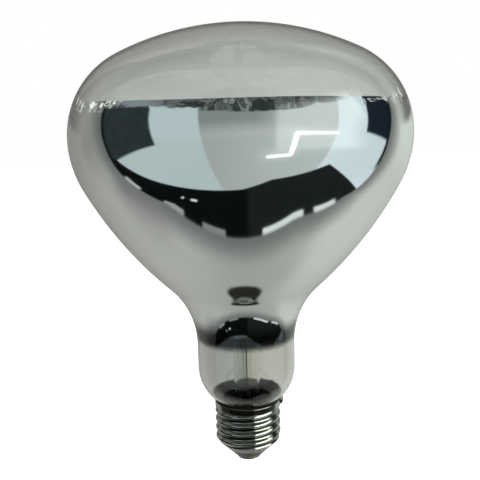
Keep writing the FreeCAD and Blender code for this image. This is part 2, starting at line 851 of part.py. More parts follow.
def make_cement(side_lead):
    """Ring of cement between the glass and the shell, with the side lead running through it."""
    ring = new_body("cement_ring")
    sketch = new_sketch(ring, "cement_section")
    radius, centre = meridian(as_size(0))
    seal = size("seal_radius")
    low = size("cap_height") - size("cement_depth")
    top = size("cap_height") - size("cement_recess")
    gap = size("cement_gap")
    minor = size("thread_mean_radius") - size("thread_depth") / 2 - size("shell_wall") - gap
    collar = size("collar_radius") - size("shell_wall") - gap
    step = size("cap_height") - size("collar_length")
    base_centre = size("neck_diameter") / 2 - size("base_radius")
    rise = neck_bottom() - top
    lean = base_centre + root(size("base_radius") * size("base_radius") - rise * rise)
    start = math.acos((seal.value - centre["base"][0]) / radius["base"])
    end = math.acos((lean.value - centre["base"][0]) / radius["base"])
    glass = add_arc(sketch, centre["base"], radius["base"], -start, -end)
    foot = centre["base"][1] - radius["base"] * math.sin(start)
    corners = [
        (lean, top),
        (collar, top),
        (collar, step),
        (minor, step - collar + minor),
        (minor, low),
        (seal, low),
    ]
    spots = [vector(corner) for corner in corners] + [FreeCAD.Vector(seal.value, foot, 0)]
    lines = [sketch.addGeometry(Part.LineSegment(first, second), False)
             for first, second in zip(spots, spots[1:])]
    join(sketch, glass, 2, lines[0], 1)
    for first, second in zip(lines, lines[1:]):
        join(sketch, first, 2, second, 1)
    join(sketch, lines[-1], 2, glass, 1)
    for line, corner in zip(lines, corners):
        if line == lines[0]:
            dimension(sketch, "DistanceY", (-1, 1, line, 1), top)
        else:
            pin(sketch, line, 1, corner)
    sketch.addConstraint(Sketcher.Constraint("Vertical", lines[-1]))
    dimension(sketch, "Radius", (glass,), size("base_radius"))
    dimension(sketch, "DistanceY", (-1, 1, glass, 3), neck_bottom())
    dimension(sketch, "DistanceX", (glass, 3, -1, 1), base_centre * -1)
    revolve(ring, sketch)
    cement = doc.addObject("Part::Cut", "basing_cement")
    cement.Label = "basing_cement"
    cement.Base = ring
    cement.Tool = side_lead


def make_side_solder(envelope, shell_outside, side_lead):
    """Drop of solder over the rim, moulded to the shell, the glass and the lead."""
    drop = doc.addObject("Part::Ellipsoid", "side_drop")
    bind(drop, "Radius1", size("side_solder_height") / 2)
    bind(drop, "Radius2", size("side_solder_depth"))
    bind(drop, "Radius3", size("side_solder_width") / 2)
    bind(drop, "Placement.Base.x", size("collar_radius") + size("outer_lead_radius"))
    bind(drop, "Placement.Base.z", size("cap_height") - size("side_solder_drop"))
    carried = doc.addObject("Part::MultiFuse", "solder_bed")
    carried.Shapes = [shell_outside, envelope, side_lead]
    solder = doc.addObject("Part::Cut", "side_solder")
    solder.Label = "side_solder"
    solder.Base = drop
    solder.Tool = carried


def build():
    envelope = make_envelope()
    make_film()
    make_stem()
    make_exhaust()
    make_arbor()
    make_seal_wires()
    make_leads()
    make_filament()
    make_supports()
    shell_outside = make_shell()
    make_insulator()
    make_contact()
    make_centre_solder()
    make_centre_lead()
    side_lead = make_side_lead()
    make_cement(side_lead)
    make_side_solder(envelope, shell_outside, side_lead)


NODES = [
    "glass_envelope",
    "reflector_coating",
    "stem_flare",
    "exhaust_tube",
    "arbor_rod",
    "seal_wire_left",
    "seal_wire_right",
    "lead_wire_left",
    "lead_wire_right",
    "filament",
    *[f"support_wire_{number}" for number in range(1, SUPPORT_COUNT + 1)],
    "screw_shell",
    "cap_insulator",
    "centre_contact",
    "centre_solder",
    "outer_lead_centre",
    "outer_lead_side",
    "basing_cement",
    "side_solder",
]


def check(objects):
    """Stops if an object of the document failed or a sub-part isn't one sound solid."""
    for item in doc.Objects:
        for word in ("Invalid", "Error"):
            if word in item.State:
                raise RuntimeError(f"{item.Name} is {item.State}")
    for item in objects:
        if item.Shape.isNull() or not item.Shape.isValid():
            raise RuntimeError(f"{item.Label} has no valid shape")
        if len(item.Shape.Solids) != 1:
            raise RuntimeError(f"{item.Label} has {len(item.Shape.Solids)} solids")


def write():
    os.makedirs("parts", exist_ok=True)
    objects = [doc.getObject(name) for name in NODES]
    check(objects)
    for item in objects:
        item.Shape.exportStep(f"parts/{item.Label}.step")
        print(item.Label, round(item.Shape.Volume, 2))


build()
doc.recompute()
write()
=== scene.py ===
import math

import bmesh
import bpy
from bpy.props import FloatProperty, FloatVectorProperty, IntProperty, PointerProperty
from mathutils import Matrix, Vector, noise


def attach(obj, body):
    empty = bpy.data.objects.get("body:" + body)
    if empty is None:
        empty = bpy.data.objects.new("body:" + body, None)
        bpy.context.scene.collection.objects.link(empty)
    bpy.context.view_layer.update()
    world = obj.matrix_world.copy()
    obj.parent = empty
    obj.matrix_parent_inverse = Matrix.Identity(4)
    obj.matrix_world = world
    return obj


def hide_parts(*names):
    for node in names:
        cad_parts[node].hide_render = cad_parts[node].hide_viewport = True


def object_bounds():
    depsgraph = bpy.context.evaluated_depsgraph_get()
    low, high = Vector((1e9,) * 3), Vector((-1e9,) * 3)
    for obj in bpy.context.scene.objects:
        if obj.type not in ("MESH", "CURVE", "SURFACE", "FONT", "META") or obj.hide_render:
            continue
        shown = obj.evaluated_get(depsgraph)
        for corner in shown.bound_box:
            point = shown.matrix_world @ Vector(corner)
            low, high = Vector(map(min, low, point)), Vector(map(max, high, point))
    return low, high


bl_info = {
    "name": "Heat Lamp",
    "version": (1, 0, 0),
    "blender": (4, 5, 0),
    "location": "View3D > Sidebar > Heat Lamp",
    "description": "Reflector heat lamp with a mirrored funnel, a glass stem and a screw cap",
    "category": "Object",
}

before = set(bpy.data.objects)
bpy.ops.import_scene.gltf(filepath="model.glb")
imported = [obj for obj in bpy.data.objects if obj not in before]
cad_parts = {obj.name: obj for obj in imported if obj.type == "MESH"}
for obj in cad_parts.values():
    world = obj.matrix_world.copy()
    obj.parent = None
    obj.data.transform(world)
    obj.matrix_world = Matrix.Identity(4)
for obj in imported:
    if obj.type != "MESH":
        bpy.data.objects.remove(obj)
CAD_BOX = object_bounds()

MM = 0.001
TINY = 1e-6
QUARTER = math.pi / 2
FULL_TURN = 2 * math.pi
SAG = 0.01 * MM
CREASE = math.radians(40)
BULB_SIDES = 192
STEPS_IN_TURN = 12
WHITE = (1.0, 1.0, 1.0)
BODY = "root"


# Settings: sizes in metres, in the same frame as the solids, with the cap's tip at the origin.

def length(label, note, millimetres):
    return FloatProperty(name=label, description=note, default=millimetres * MM, unit="LENGTH",
                         precision=5)


def angle(label, note, radians):
    return FloatProperty(name=label, description=note, default=radians, subtype="ANGLE")


def count(label, note, value):
    return IntProperty(name=label, description=note, default=value, min=1)


def colour(label, note, value):
    return FloatVectorProperty(name=label, description=note, default=value, size=3,
                               subtype="COLOR", min=0.0, max=1.0)


class BulbSettings(bpy.types.PropertyGroup):
    overall: length("Overall length", "From the cap's tip to the top of the face", 170.6)
    diameter: length("Bulb diameter", "Widest part of the bulb", 127)
    widest: length("Widest height", "Height of the widest part", 130.2)
    shoulder: length("Shoulder radius", "Radius of the shoulder's arc", 33.6)
    flank: length("Flank radius", "Radius of the arc below the widest part", 38.9)
    funnel: length("Funnel radius", "Radius of the long arc of the funnel", 150)
    throat: length("Throat radius", "Radius of the hollow above the neck", 33)
    neck: length("Neck diameter", "Diameter of the straight neck", 38.3)
    neck_top: length("Neck top", "Height where the neck turns into the throat", 49.2)
    neck_bottom: length("Neck bottom", "Height where the neck turns into the base", 39.5)
    base: length("Base radius", "Radius of the arc that runs into the cap", 17)
    wall: length("Glass thickness", "Thickness of the blown wall", 0.8)
    seal: length("Seal radius", "Outer radius of the glass where the stem is fused on", 11)
    seal_bottom: length("Seal bottom", "Height of the bulb's lowest glass", 15.4)
    film: length("Film thickness", "Thickness that stands for the aluminium film", 0.2)
    film_sink: length("Film sink", "Depth to which the film lies in the glass", 0.05)
    film_top: length("Film top", "Height of the mirror's upper edge", 143.8)
    film_bottom: length("Film bottom", "Height where the mirror's faded margin ends", 50.0)
    film_fade: length("Film fade", "Height over which the lower edge of the mirror fades", 4.5)
    film_sag: length("Film sag", "How far the mirror's upper edge drops at the right", 1.1)
    ripple: length("Ripple", "Unevenness of the wall along the mirror's upper edge", 0.04)
    stain_top: length("Stain top", "Height of the brown stain on the inside of the wall", 28.3)
    glass_tint: colour("Glass tint", "Colour of the clear glass", (0.985, 0.99, 0.982))
    mirror_tint: colour("Mirror tint", "Colour of the aluminium film", (0.88, 0.90, 0.905))
    stain_tint: colour("Stain tint", "Colour of the brown stain at the base", (0.013, 0.011, 0.003))


class MountSettings(bpy.types.PropertyGroup):
    tube: length("Stem tube radius", "Outer radius of the stem's tube", 5.3)
    tube_wall: length("Stem wall", "Wall of the stem's tube", 0.9)
    press_bottom: length("Pinch bottom", "Height where the tube starts to flatten", 48)
    press_flat: length("Pinch flat", "Height where the pinch is flat", 53)
    press_top: length("Pinch top", "Height of the top of the pinch", 58)
    press_width: length("Pinch half width", "Half of the wide side of the pinch", 6)
    press_depth: length("Pinch half depth", "Half of the narrow side of the pinch", 2)
    exhaust: length("Exhaust radius", "Outer radius of the exhaust tube", 2.1)
    exhaust_wall: length("Exhaust wall", "Wall of the exhaust tube", 0.5)
    exhaust_tip: length("Exhaust tip", "Height of the sealed tip", 10)
    arbor: length("Arbor radius", "Radius of the glass rod above the pinch", 1.5)
    button: length("Button radius", "Radius of the button on the arbor", 3)
    button_bottom: length("Button bottom", "Height of the button's lower edge", 86)
    button_top: length("Button top", "Height of the button's top", 91)
    ring: length("Filament ring", "Radius of the ring of coiled wire", 14)
    ring_height: length("Filament height", "Height of the ring", 100)
    coil: length("Coil radius", "Outer radius of the coil in the solids", 0.7)
    coil_wire: length("Coil wire", "Half the width of the flat wire that is coiled", 0.11)
    coil_turns: count("Coil turns", "Turns of the coiled wire", 150)
    turn: angle("Mount turn", "Turn of the mount about the axis", QUARTER)
    opening: angle("Opening", "Angle between the ends of the ring", math.radians(110))
    supports: count("Supports", "Number of support wires", 4)
    support_wire: length("Support wire radius", "Radius of the support wires", 0.25)
    lead_wire: length("Lead radius", "Radius of the inner leads", 0.5)


class CapSettings(bpy.types.PropertyGroup):
    height: length("Rim height", "Height of the shell's rim", 25.5)
    collar: length("Collar radius", "Radius of the smooth collar", 13.05)
    collar_length: length("Collar length", "Height of the smooth collar", 2.3)
    wall: length("Shell thickness", "Thickness of the shell's sheet", 0.25)
    mean: length("Thread mean radius", "Mean radius of the rolled thread", 12.56)
    depth: length("Thread depth", "From root to crest", 1.04)
    pitch: length("Thread pitch", "Rise in one turn", 3.629)
    crest: length("Crest height", "Height of a crest on the +X side", 1.1)
    lip: length("Lip height", "Lower edge of the shell", 5.6)
    plug_top: length("Insulator top", "Top of the insulator inside the shell", 8)
    plug_floor: length("Insulator floor", "Floor of the insulator inside the shell", 5)
    plug_bottom: length("Insulator bottom", "Lower face of the insulator", 1.5)
    plug_rim: length("Insulator rim", "Width of the insulator's upper rim", 2)
    taper: length("Taper radius", "Radius of the insulator's lower face", 5)
    outside_shadow_spot: length("Lead hole radius", "Hole for the centre lead", 0.9)
    contact: length("Contact radius", "Radius of the contact disc", 4.8)
    contact_bottom: length("Contact bottom", "Lower face of the contact disc", 0.9)
    solder: length("Solder radius", "Radius of the drop at the tip", 3.2)
    solder_flat: length("Solder flat", "Radius of the flat of the drop", 2)
    side_height: length("Side solder height", "Height of the drop at the rim", 4.8)
    side_width: length("Side solder width", "Width of the drop at the rim", 3)
    side_depth: length("Side solder depth", "How far the drop stands out", 1.2)
    side_drop: length("Side solder place", "How far the drop's middle lies below the rim", 0.72)
    cement_bottom: length("Cement bottom", "Lower edge of the ring of cement", 17)
    cement_top: length("Cement top", "Top of the ring of cement", 25.2)
    plating: colour("Plating", "Colour of the nickel plating", (0.52, 0.53, 0.485))


class StudioSettings(bpy.types.PropertyGroup):
    distance: length("Camera distance", "Distance of the camera in front of the axis", 280)
    level: length("Camera height", "Height of the camera", 143.7)
    aside: length("Camera aside", "Place of the camera left of the axis", -1.25)
    pitch: angle("Camera pitch", "How far the camera looks down", 0.190)
    roll: angle("Camera roll", "How far the lamp leans in the picture", 0.028)
    focal: FloatProperty(name="Focal length", description="Focal length in widths of the picture",
                         default=739.8 / 480, min=0.1)
    floor: length("Floor height", "Height of the floor below the lamp", -120)
    ambient: FloatProperty(name="Ambient", description="Strength of the soft light all round",
                           default=0.62, min=0.0)


class LampSettings(bpy.types.PropertyGroup):
    bulb: PointerProperty(type=BulbSettings)
    mount: PointerProperty(type=MountSettings)
    cap: PointerProperty(type=CapSettings)
    studio: PointerProperty(type=StudioSettings)


# Materials: numbers and colours that vary over a surface are worked out with nodes.

class Number:
    """A number that varies over a surface, with arithmetic that adds Math nodes."""

    def __init__(self, paint, socket):
        self.paint = paint
        self.socket = socket

    def math(self, operation, *values):
        inputs = dict(enumerate(values))
        node = self.paint.add("ShaderNodeMath", {"operation": operation}, inputs)
        return Number(self.paint, node.outputs[0])

    def __add__(self, other):
        return self.math("ADD", self, other)

    def __radd__(self, other):
        return self.math("ADD", other, self)

    def __sub__(self, other):
        return self.math("SUBTRACT", self, other)

    def __rsub__(self, other):
        return self.math("SUBTRACT", other, self)

    def __mul__(self, other):
        return self.math("MULTIPLY", self, other)

    def __rmul__(self, other):
        return self.math("MULTIPLY", other, self)

    def __truediv__(self, other):
        return self.math("DIVIDE", self, other)

    def __rtruediv__(self, other):
        return self.math("DIVIDE", other, self)

    def power(self, other):
        return self.math("POWER", self, other)

    def smooth(self, low, high):
        """0 below low, 1 above high and a soft step between them."""
        node = self.paint.add("ShaderNodeMapRange", {"interpolation_type": "SMOOTHSTEP"},
                              {"Value": self, "From Min": low, "From Max": high})
        return Number(self.paint, node.outputs["Result"])

    def within(self, low, high, soft):
        """1 between low and high, with soft edges."""
        return self.smooth(low - soft, low + soft) * (1 - self.smooth(high - soft, high + soft))


class Paint:
    """Builds the nodes of one material or world."""

    def __init__(self, owner):
        owner.use_nodes = True
        self.owner = owner
        self.tree = owner.node_tree
        self.tree.nodes.clear()
        self.places = {}

    def add(self, kind, settings=None, inputs=None):
        node = self.tree.nodes.new(kind)
        for name, value in (settings or {}).items():
            setattr(node, name, value)
        for name, value in (inputs or {}).items():
            if isinstance(value, Number):
                value = value.socket
            if isinstance(value, bpy.types.NodeSocket):
                self.tree.links.new(value, node.inputs[name])
            else:
                node.inputs[name].default_value = value
        return node

    def place(self, output="Object"):
        if output not in self.places:
            self.places[output] = self.add("ShaderNodeTexCoord").outputs[output]
        return self.places[output]

    def stretched(self, scale):
        node = self.add("ShaderNodeMapping", {}, {"Vector": self.place(), "Scale": scale})
        return node.outputs["Vector"]

    def axes(self, output="Object"):
        node = self.add("ShaderNodeSeparateXYZ", {}, {"Vector": self.place(output)})
        return [Number(self, socket) for socket in node.outputs]

    def speckle(self, scale, detail=3.0, roughness=0.5, vector=None, distortion=0.0):
        node = self.add("ShaderNodeTexNoise", {}, {
            "Vector": vector or self.place(), "Scale": scale, "Detail": detail,
            "Roughness": roughness, "Distortion": distortion})
        return Number(self, node.outputs["Fac"])

    def cells(self, scale):
        node = self.add("ShaderNodeTexVoronoi", {}, {"Vector": self.place(), "Scale": scale})
        return Number(self, node.outputs["Distance"])

    def blend(self, share, first, second):
        """Colour between two colours."""
        node = self.add("ShaderNodeMix", {"data_type": "RGBA"},
                        {0: share, 6: rgba(first), 7: rgba(second)})
        return node.outputs[2]

    def layers(self, tone, *coats):
        """Lays colours over a first one, each with its share."""
        for share, coat in coats:
            tone = self.blend(share, tone, coat)
        return tone

    def bump(self, height, distance):
        node = self.add("ShaderNodeBump", {}, {"Height": height, "Distance": distance})
        return node.outputs["Normal"]

    def surface(self, values):
        return self.add("ShaderNodeBsdfPrincipled", {}, values).outputs["BSDF"]

    def finish(self, shader, kind="ShaderNodeOutputMaterial"):
        self.add(kind, {}, {"Surface": shader})
        return self.owner

    def metal(self, values):
        return self.finish(self.surface({"Metallic": 1.0, **values}))


# Finishes of wire: tone, tone of its oxide, and roughness
WIRE_FINISHES = {
    "lead_nickel": ((0.60, 0.59, 0.57), (0.36, 0.35, 0.33), 0.26),
    # Outer leads: nickel given a near-black tone.
    "near_black_nickel": ((0.06, 0.05, 0.04), (0.03, 0.025, 0.02), 0.4),
    "clamp_nickel": ((0.6, 0.59, 0.57), (0.34, 0.33, 0.31), 0.28),
    "support_tungsten": ((0.34, 0.34, 0.35), (0.19, 0.19, 0.19), 0.34),
    "coil_tungsten": ((0.34, 0.34, 0.36), (0.16, 0.16, 0.17), 0.3),
    "loop_tungsten": ((0.36, 0.36, 0.37), (0.2, 0.2, 0.2), 0.35),
    "seal_oxide": ((0.55, 0.24, 0.15), (0.24, 0.09, 0.06), 0.4),
}

# Finishes of cast or stamped metal: tone, tone of its mottling, roughness and fineness of grain
CAST_FINISHES = {
    "contact_brass": ((0.36, 0.32, 0.23), (0.19, 0.16, 0.11), 0.32, 420),
    "tip_solder": ((0.52, 0.53, 0.52), (0.27, 0.27, 0.27), 0.3, 500),
    "rim_solder": ((0.42, 0.42, 0.41), (0.16, 0.155, 0.15), 0.28, 380),
}

# Carried-over wires: finish, slot and nodes
CARRIED_WIRES = (
    ("lead_nickel", "nickel_wire", ("lead_wire_left", "lead_wire_right")),
    ("near_black_nickel", "nickel_wire", ("outer_lead_side", "outer_lead_centre")),
    ("support_tungsten", "tungsten", tuple(f"support_wire_{number}" for number in range(1, 5))),
    ("seal_oxide", "seal_wire", ("seal_wire_left", "seal_wire_right")),
)

STEM_TINT = (0.97, 0.98, 0.965)


def new_paint(name):
    return Paint(bpy.data.materials.new(name))


def shaded(tint, share):
    return tuple(share * channel for channel in tint)


def reach(first, second):
    """Distance that two numbers at right angles make."""
    return (first * first + second * second).power(0.5)


def rgba(value):
    if isinstance(value, (bpy.types.NodeSocket, Number)):
        return value
    return (*value, 1.0)


def clear_glass(name, tint, bulb=None):
    """Clear glass with a breath of dust, slight waves and, in a bulb, a stain at its base."""
    paint = new_paint(name)
    dust = paint.speckle(55, 5.0, 0.6).smooth(0.45, 0.75)
    glass = paint.surface({
        "Base Color": paint.blend(dust, tint, shaded(tint, 0.965)),
        "Roughness": 0.0,
        "IOR": 1.5,
        "Transmission Weight": 1.0,
        "Normal": paint.bump(paint.speckle(38, 1.0), 0.03 * MM),
    })
    if bulb:
        stain = paint.surface({
            "Base Color": paint.blend(dust, bulb.stain_tint, shaded(bulb.stain_tint, 2.5)),
            "Roughness": 0.3 + 0.3 * dust,
        })
        mixed = paint.add("ShaderNodeMixShader", {}, {0: base_stain(paint, bulb), 1: glass, 2: stain})
        glass = mixed.outputs[0]
    return paint.finish(glass)


def base_stain(paint, bulb):
    """Share of brown stain: on the inner wall only, below an uneven edge."""
    across, along, up = paint.axes()
    centre = bulb.neck / 2 - bulb.base
    depth = reach(reach(across, along) - centre, up - bulb.neck_bottom)
    inside = 1 - depth.smooth(bulb.base - 0.6 * bulb.wall, bulb.base - 0.4 * bulb.wall)
    edge = up + (paint.speckle(180, 4.0, 0.6) - 0.5) * (1.6 * MM)
    return inside * (1 - edge.smooth(bulb.stain_top - 0.4 * MM, bulb.stain_top + 0.5 * MM)) * 0.96


def mirror_film(bulb):
    """Evaporated aluminium that thins out towards the neck, with a creased upper rim."""
    paint = new_paint("aluminium_film")
    across, _, up = paint.axes()
    patches = paint.speckle(70, 4.0, 0.6)
    edge = up + (patches - 0.5) * (1.2 * MM)
    low, fade = bulb.film_bottom, bulb.film_fade
    thin = 1 - edge.smooth(low + 1.3 * fade, low + 2.8 * fade)
    sag = across.smooth(10 * MM, 58 * MM) * bulb.film_sag + (patches - 0.5) * (0.3 * MM)
    below = bulb.film_top - sag - up
    cover = edge.smooth(low, low + 0.9 * fade) * below.smooth(0.05 * MM, 0.20 * MM)
    rim = 1 - below.smooth(0.6 * MM, 3.4 * MM)
    crinkle = paint.speckle(190, 2.0, 0.5, paint.stretched((1, 1, 1.6)), 0.6)
    return paint.metal({
        "Base Color": paint.layers(bulb.mirror_tint, (patches, shaded(bulb.mirror_tint, 0.95)),
                                   (thin * 0.97, (0.030, 0.036, 0.036))),
        "Roughness": 0.025 + 0.02 * paint.speckle(900, 2.0) + 0.03 * thin,
        "Alpha": cover * (1 - 0.06 * thin),
        "Normal": paint.bump(paint.speckle(45, 1.0) + crinkle * rim * 1.6, 0.04 * MM),
    })


def drawn_wire(name):
    """Drawn wire with fine lines and a little oxide."""
    tint, dark, rough = WIRE_FINISHES[name]
    paint = new_paint(name)
    lines = paint.speckle(900, 2.0, 0.5, paint.stretched((1, 1, 0.08)))
    oxide = paint.speckle(260, 4.0, 0.6).smooth(0.45, 0.7)
    return paint.metal({
        "Base Color": paint.layers(tint, (lines, dark), (oxide * 0.7, dark)),
        "Roughness": rough + 0.15 * oxide + 0.06 * lines,
        "Normal": paint.bump(lines, 0.01 * MM),
    })


def plated_shell(cap):
    """Nickel plating with rubbed streaks and specks of grime, and painted shade in the grooves between
    the crests.
    """
    paint = new_paint("nickel_plating")
    across, along, up = paint.axes()
    crest = reach(across, along).smooth(cap.mean - 0.35 * cap.depth, cap.mean + 0.45 * cap.depth)
    collar = up.smooth(cap.height - 1.3 * cap.collar_length, cap.height - cap.collar_length)
    grime = paint.speckle(240, 5.0, 0.65).smooth(0.42, 0.68)
    rub = paint.speckle(420, 3.0, 0.55, paint.stretched((1, 1, 5)))
    # Painted shade: the grooves below the collar are darkened, with specks of real grime on top.
    grime_and_groove_shade = (1 - crest) * (1 - collar) * 0.4 + grime * 0.2
    return paint.metal({
        "Base Color": paint.layers(cap.plating, (rub, shaded(cap.plating, 0.86)),
                                   (grime_and_groove_shade, (0.11, 0.11, 0.085))),
        "Roughness": 0.07 + 0.10 * grime_and_groove_shade + 0.04 * rub,
        "Normal": paint.bump(rub + grime * 0.5, 0.012 * MM),
    })


def black_glass():
    """Opaque black glass with a fired gloss."""
    paint = new_paint("black_plug_glass")
    flow = paint.speckle(160, 3.0, 0.6, None, 0.8)
    pits = paint.cells(900).smooth(0.0, 0.25)
    return paint.finish(paint.surface({
        "Base Color": paint.blend(flow, (0.012, 0.012, 0.013), (0.035, 0.033, 0.032)),
        "Roughness": 0.22 + 0.12 * flow,
        "Normal": paint.bump(flow * 0.6 + pits * 0.4, 0.04 * MM),
    }))


def dull_metal(name):
    """Cast or stamped metal with a mottled, slightly rough skin."""
    tint, dark, rough, grain = CAST_FINISHES[name]
    paint = new_paint(name)
    mottle = paint.speckle(grain, 5.0, 0.62)
    spots = paint.speckle(grain * 3, 3.0).smooth(0.5, 0.72)
    return paint.metal({
        "Base Color": paint.blend(mottle.smooth(0.35, 0.7), tint, dark),
        "Roughness": rough + 0.2 * spots,
        "Normal": paint.bump(mottle + spots * 0.4, 0.03 * MM),
    })


def baked_cement():
    """Brown heat-proof cement with grains of filler."""
    paint = new_paint("basing_cement")
    body = paint.speckle(300, 6.0, 0.7)
    grains = 1 - paint.cells(1400).smooth(0.05, 0.4)
    shade = paint.blend(body, (0.030, 0.025, 0.018), (0.075, 0.065, 0.048))
    return paint.finish(paint.surface({
        "Base Color": paint.blend(grains * 0.35, shade, (0.16, 0.14, 0.11)),
        "Roughness": 0.85 + 0.1 * body,
        "Normal": paint.bump(body + grains * 0.3, 0.15 * MM),
    }))


# Shapes

def arc_steps(radius, angle):
    """Steps that keep an arc's chords close to it."""
    return max(2, math.ceil(abs(angle) / (2 * math.acos(1 - SAG / radius))))


class Lathe:
    """Draws an outline in the XZ plane and turns it about the lamp's axis."""

    def __init__(self, radius, height):
        self.mesh = bmesh.new()
        self.tip = self.mesh.verts.new((radius, 0, height))

    def line(self, radius, height, steps=1):
        start, goal = self.tip.co.copy(), Vector((radius, 0, height))
        for step in range(1, steps + 1):
            self.tip = bmesh.ops.extrude_vert_indiv(self.mesh, verts=[self.tip])["verts"][0]
            self.tip.co = start.lerp(goal, step / steps)

    def arc(self, centre, first, last):
        """Carries the tip round a centre, between two angles above the horizontal."""
        reach = math.hypot(self.tip.co.x - centre[0], self.tip.co.z - centre[1])
        made = bmesh.ops.spin(self.mesh, geom=[self.tip], cent=(centre[0], 0, centre[1]),
                              axis=(0, -1, 0), angle=last - first,
                              steps=arc_steps(reach, last - first))
        self.tip = next(v for v in made["geom_last"] if isinstance(v, bmesh.types.BMVert))

    def trace(self, arcs):
        for centre, first, last in arcs:
            self.arc(centre, first, last)

    def path(self, *corners):
        """Straight runs, each to a radius and a height, and some in several steps."""
        for corner in corners:
            self.line(*corner)

    def soften(self, radius, segments=3):
        """Rounds the corners of the outline."""
        corners = [v for v in self.mesh.verts if len(v.link_edges) == 2]
        bmesh.ops.bevel(self.mesh, geom=corners, offset=radius, offset_type="OFFSET",
                        segments=segments, profile=0.5, affect="VERTICES", material=-1,
                        clamp_overlap=True)

    def turn(self, sides, closed=False):
        if closed:
            ends = [v for v in self.mesh.verts if len(v.link_edges) == 1]
            self.mesh.edges.new(ends)
        bmesh.ops.spin(self.mesh, geom=self.mesh.verts[:] + self.mesh.edges[:], cent=(0, 0, 0),
                       axis=(0, 0, 1), angle=FULL_TURN, steps=sides, use_merge=True)
        return clean(self.mesh)


def clean(mesh):
    """Closes seams and poles and points the faces outwards."""
    bmesh.ops.remove_doubles(mesh, verts=mesh.verts[:], dist=TINY)
    face_outwards(mesh)
    return mesh


def face_outwards(mesh):
    bmesh.ops.recalc_face_normals(mesh, faces=mesh.faces[:])


def mesh_piece(name, mesh, slot, material, *replaced):
    """Makes a piece of the finished mesh and ties it to the frame."""
    for face in mesh.faces:
        face.smooth = True
    for edge in mesh.edges:
        if len(edge.link_faces) == 2 and edge.calc_face_angle() > CREASE:
            edge.smooth = False
    piece = mesh_object(name, mesh, material)
    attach(piece, BODY)
    if replaced:
        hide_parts(*replaced)
    return piece


def add_object(name, data):
    made = bpy.data.objects.new(name, data)
    bpy.context.scene.collection.objects.link(made)
    return made


def mesh_object(name, mesh, material):
    data = bpy.data.meshes.new(name)
    mesh.to_mesh(data)
    mesh.free()
    data.materials.append(material)
    return add_object(name, data)


class Meridian:
    """The bulb's outline at a depth below the outer face of the glass."""

    def __init__(self, bulb, depth):
        widest = bulb.diameter / 2 - depth
        neck = bulb.neck / 2 - depth
        flank, shoulder = bulb.flank - depth, bulb.shoulder - depth
        funnel, throat = bulb.funnel - depth, bulb.throat + depth
        self.base_reach = bulb.base - depth
        self.neck, self.apex = neck, bulb.overall - depth
        self.base = (neck - self.base_reach, bulb.neck_bottom)
        self.throat = (neck + throat, bulb.neck_top)
        self.flank = (widest - flank, bulb.widest)
        self.shoulder = (widest - shoulder, bulb.widest)
        self.shoulder_reach = shoulder
        across = self.throat[0] - self.flank[0]
        up = self.throat[1] - self.flank[1]
        apart = math.hypot(across, up)
        to_flank, to_throat = funnel - flank, funnel + throat
        along = (to_flank ** 2 - to_throat ** 2 + apart ** 2) / (2 * apart)
        aside = math.sqrt(to_flank ** 2 - along ** 2)
        self.funnel = (self.flank[0] + (along * across + aside * up) / apart,
                       self.flank[1] + (along * up - aside * across) / apart)
        rise = self.apex - bulb.widest - shoulder
        drop = (self.shoulder[0] ** 2 - rise ** 2) / (2 * rise)
        self.face = (0.0, bulb.widest - drop)
        self.seal_turn = math.acos((bulb.seal - depth - self.base[0]) / self.base_reach)
        self.seal_height = self.base[1] - self.base_reach * math.sin(self.seal_turn)

    def arcs_down(self, top=None, bottom=None):
        """Centre, first and last angle of each arc, from the apex or a height to the neck or one."""
        to_face = bearing(self.face, self.shoulder)
        to_flank = bearing(self.funnel, self.flank)
        to_throat = bearing(self.throat, self.funnel)
        arcs = [
            (self.shoulder, to_face, 0.0),
            (self.flank, 0.0, to_flank),
            (self.funnel, to_flank, to_throat - math.pi),
            (self.throat, to_throat, self.throat_turn(bottom)),
        ]
        if top is None:
            return [(self.face, math.pi / 2, to_face)] + arcs
        start = math.asin((top - self.shoulder[1]) / self.shoulder_reach)
        return [(self.shoulder, start, 0.0)] + arcs[1:]

    def throat_turn(self, bottom):
        """Angle of the throat's arc at a height, or where it meets the neck."""
        climb = 0.0 if bottom is None else bottom - self.throat[1]
        return math.pi - math.asin(climb / (self.throat[0] - self.neck))

    def start(self, top):
        climb = top - self.shoulder[1]
        return (self.shoulder[0] + math.sqrt(self.shoulder_reach ** 2 - climb ** 2), top)


def bearing(start, end):
    return math.atan2(end[1] - start[1], end[0] - start[0])


def point_on(centre, reach, turn):
    return centre[0] + reach * math.cos(turn), centre[1] + reach * math.sin(turn)


def backwards(arcs):
    return [(centre, last, first) for centre, first, last in reversed(arcs)]


def ripple(mesh, bulb):
    """Works the slight unevenness along the mirror's upper edge into the wall."""
    drop, spread, waves = 1.6 * MM, 1.9 * MM, 2.2
    for vertex in mesh.verts:
        height = (vertex.co.z - bulb.film_top + drop) / spread
        swell = math.exp(-height * height)
        if swell > 0.001:
            turn = math.atan2(vertex.co.y, vertex.co.x)
            wave = noise.noise(Vector((waves * math.cos(turn), waves * math.sin(turn), height * 0.3)))
            push = bulb.ripple * swell * wave * 2
            vertex.co.x += push * math.cos(turn)
            vertex.co.y += push * math.sin(turn)


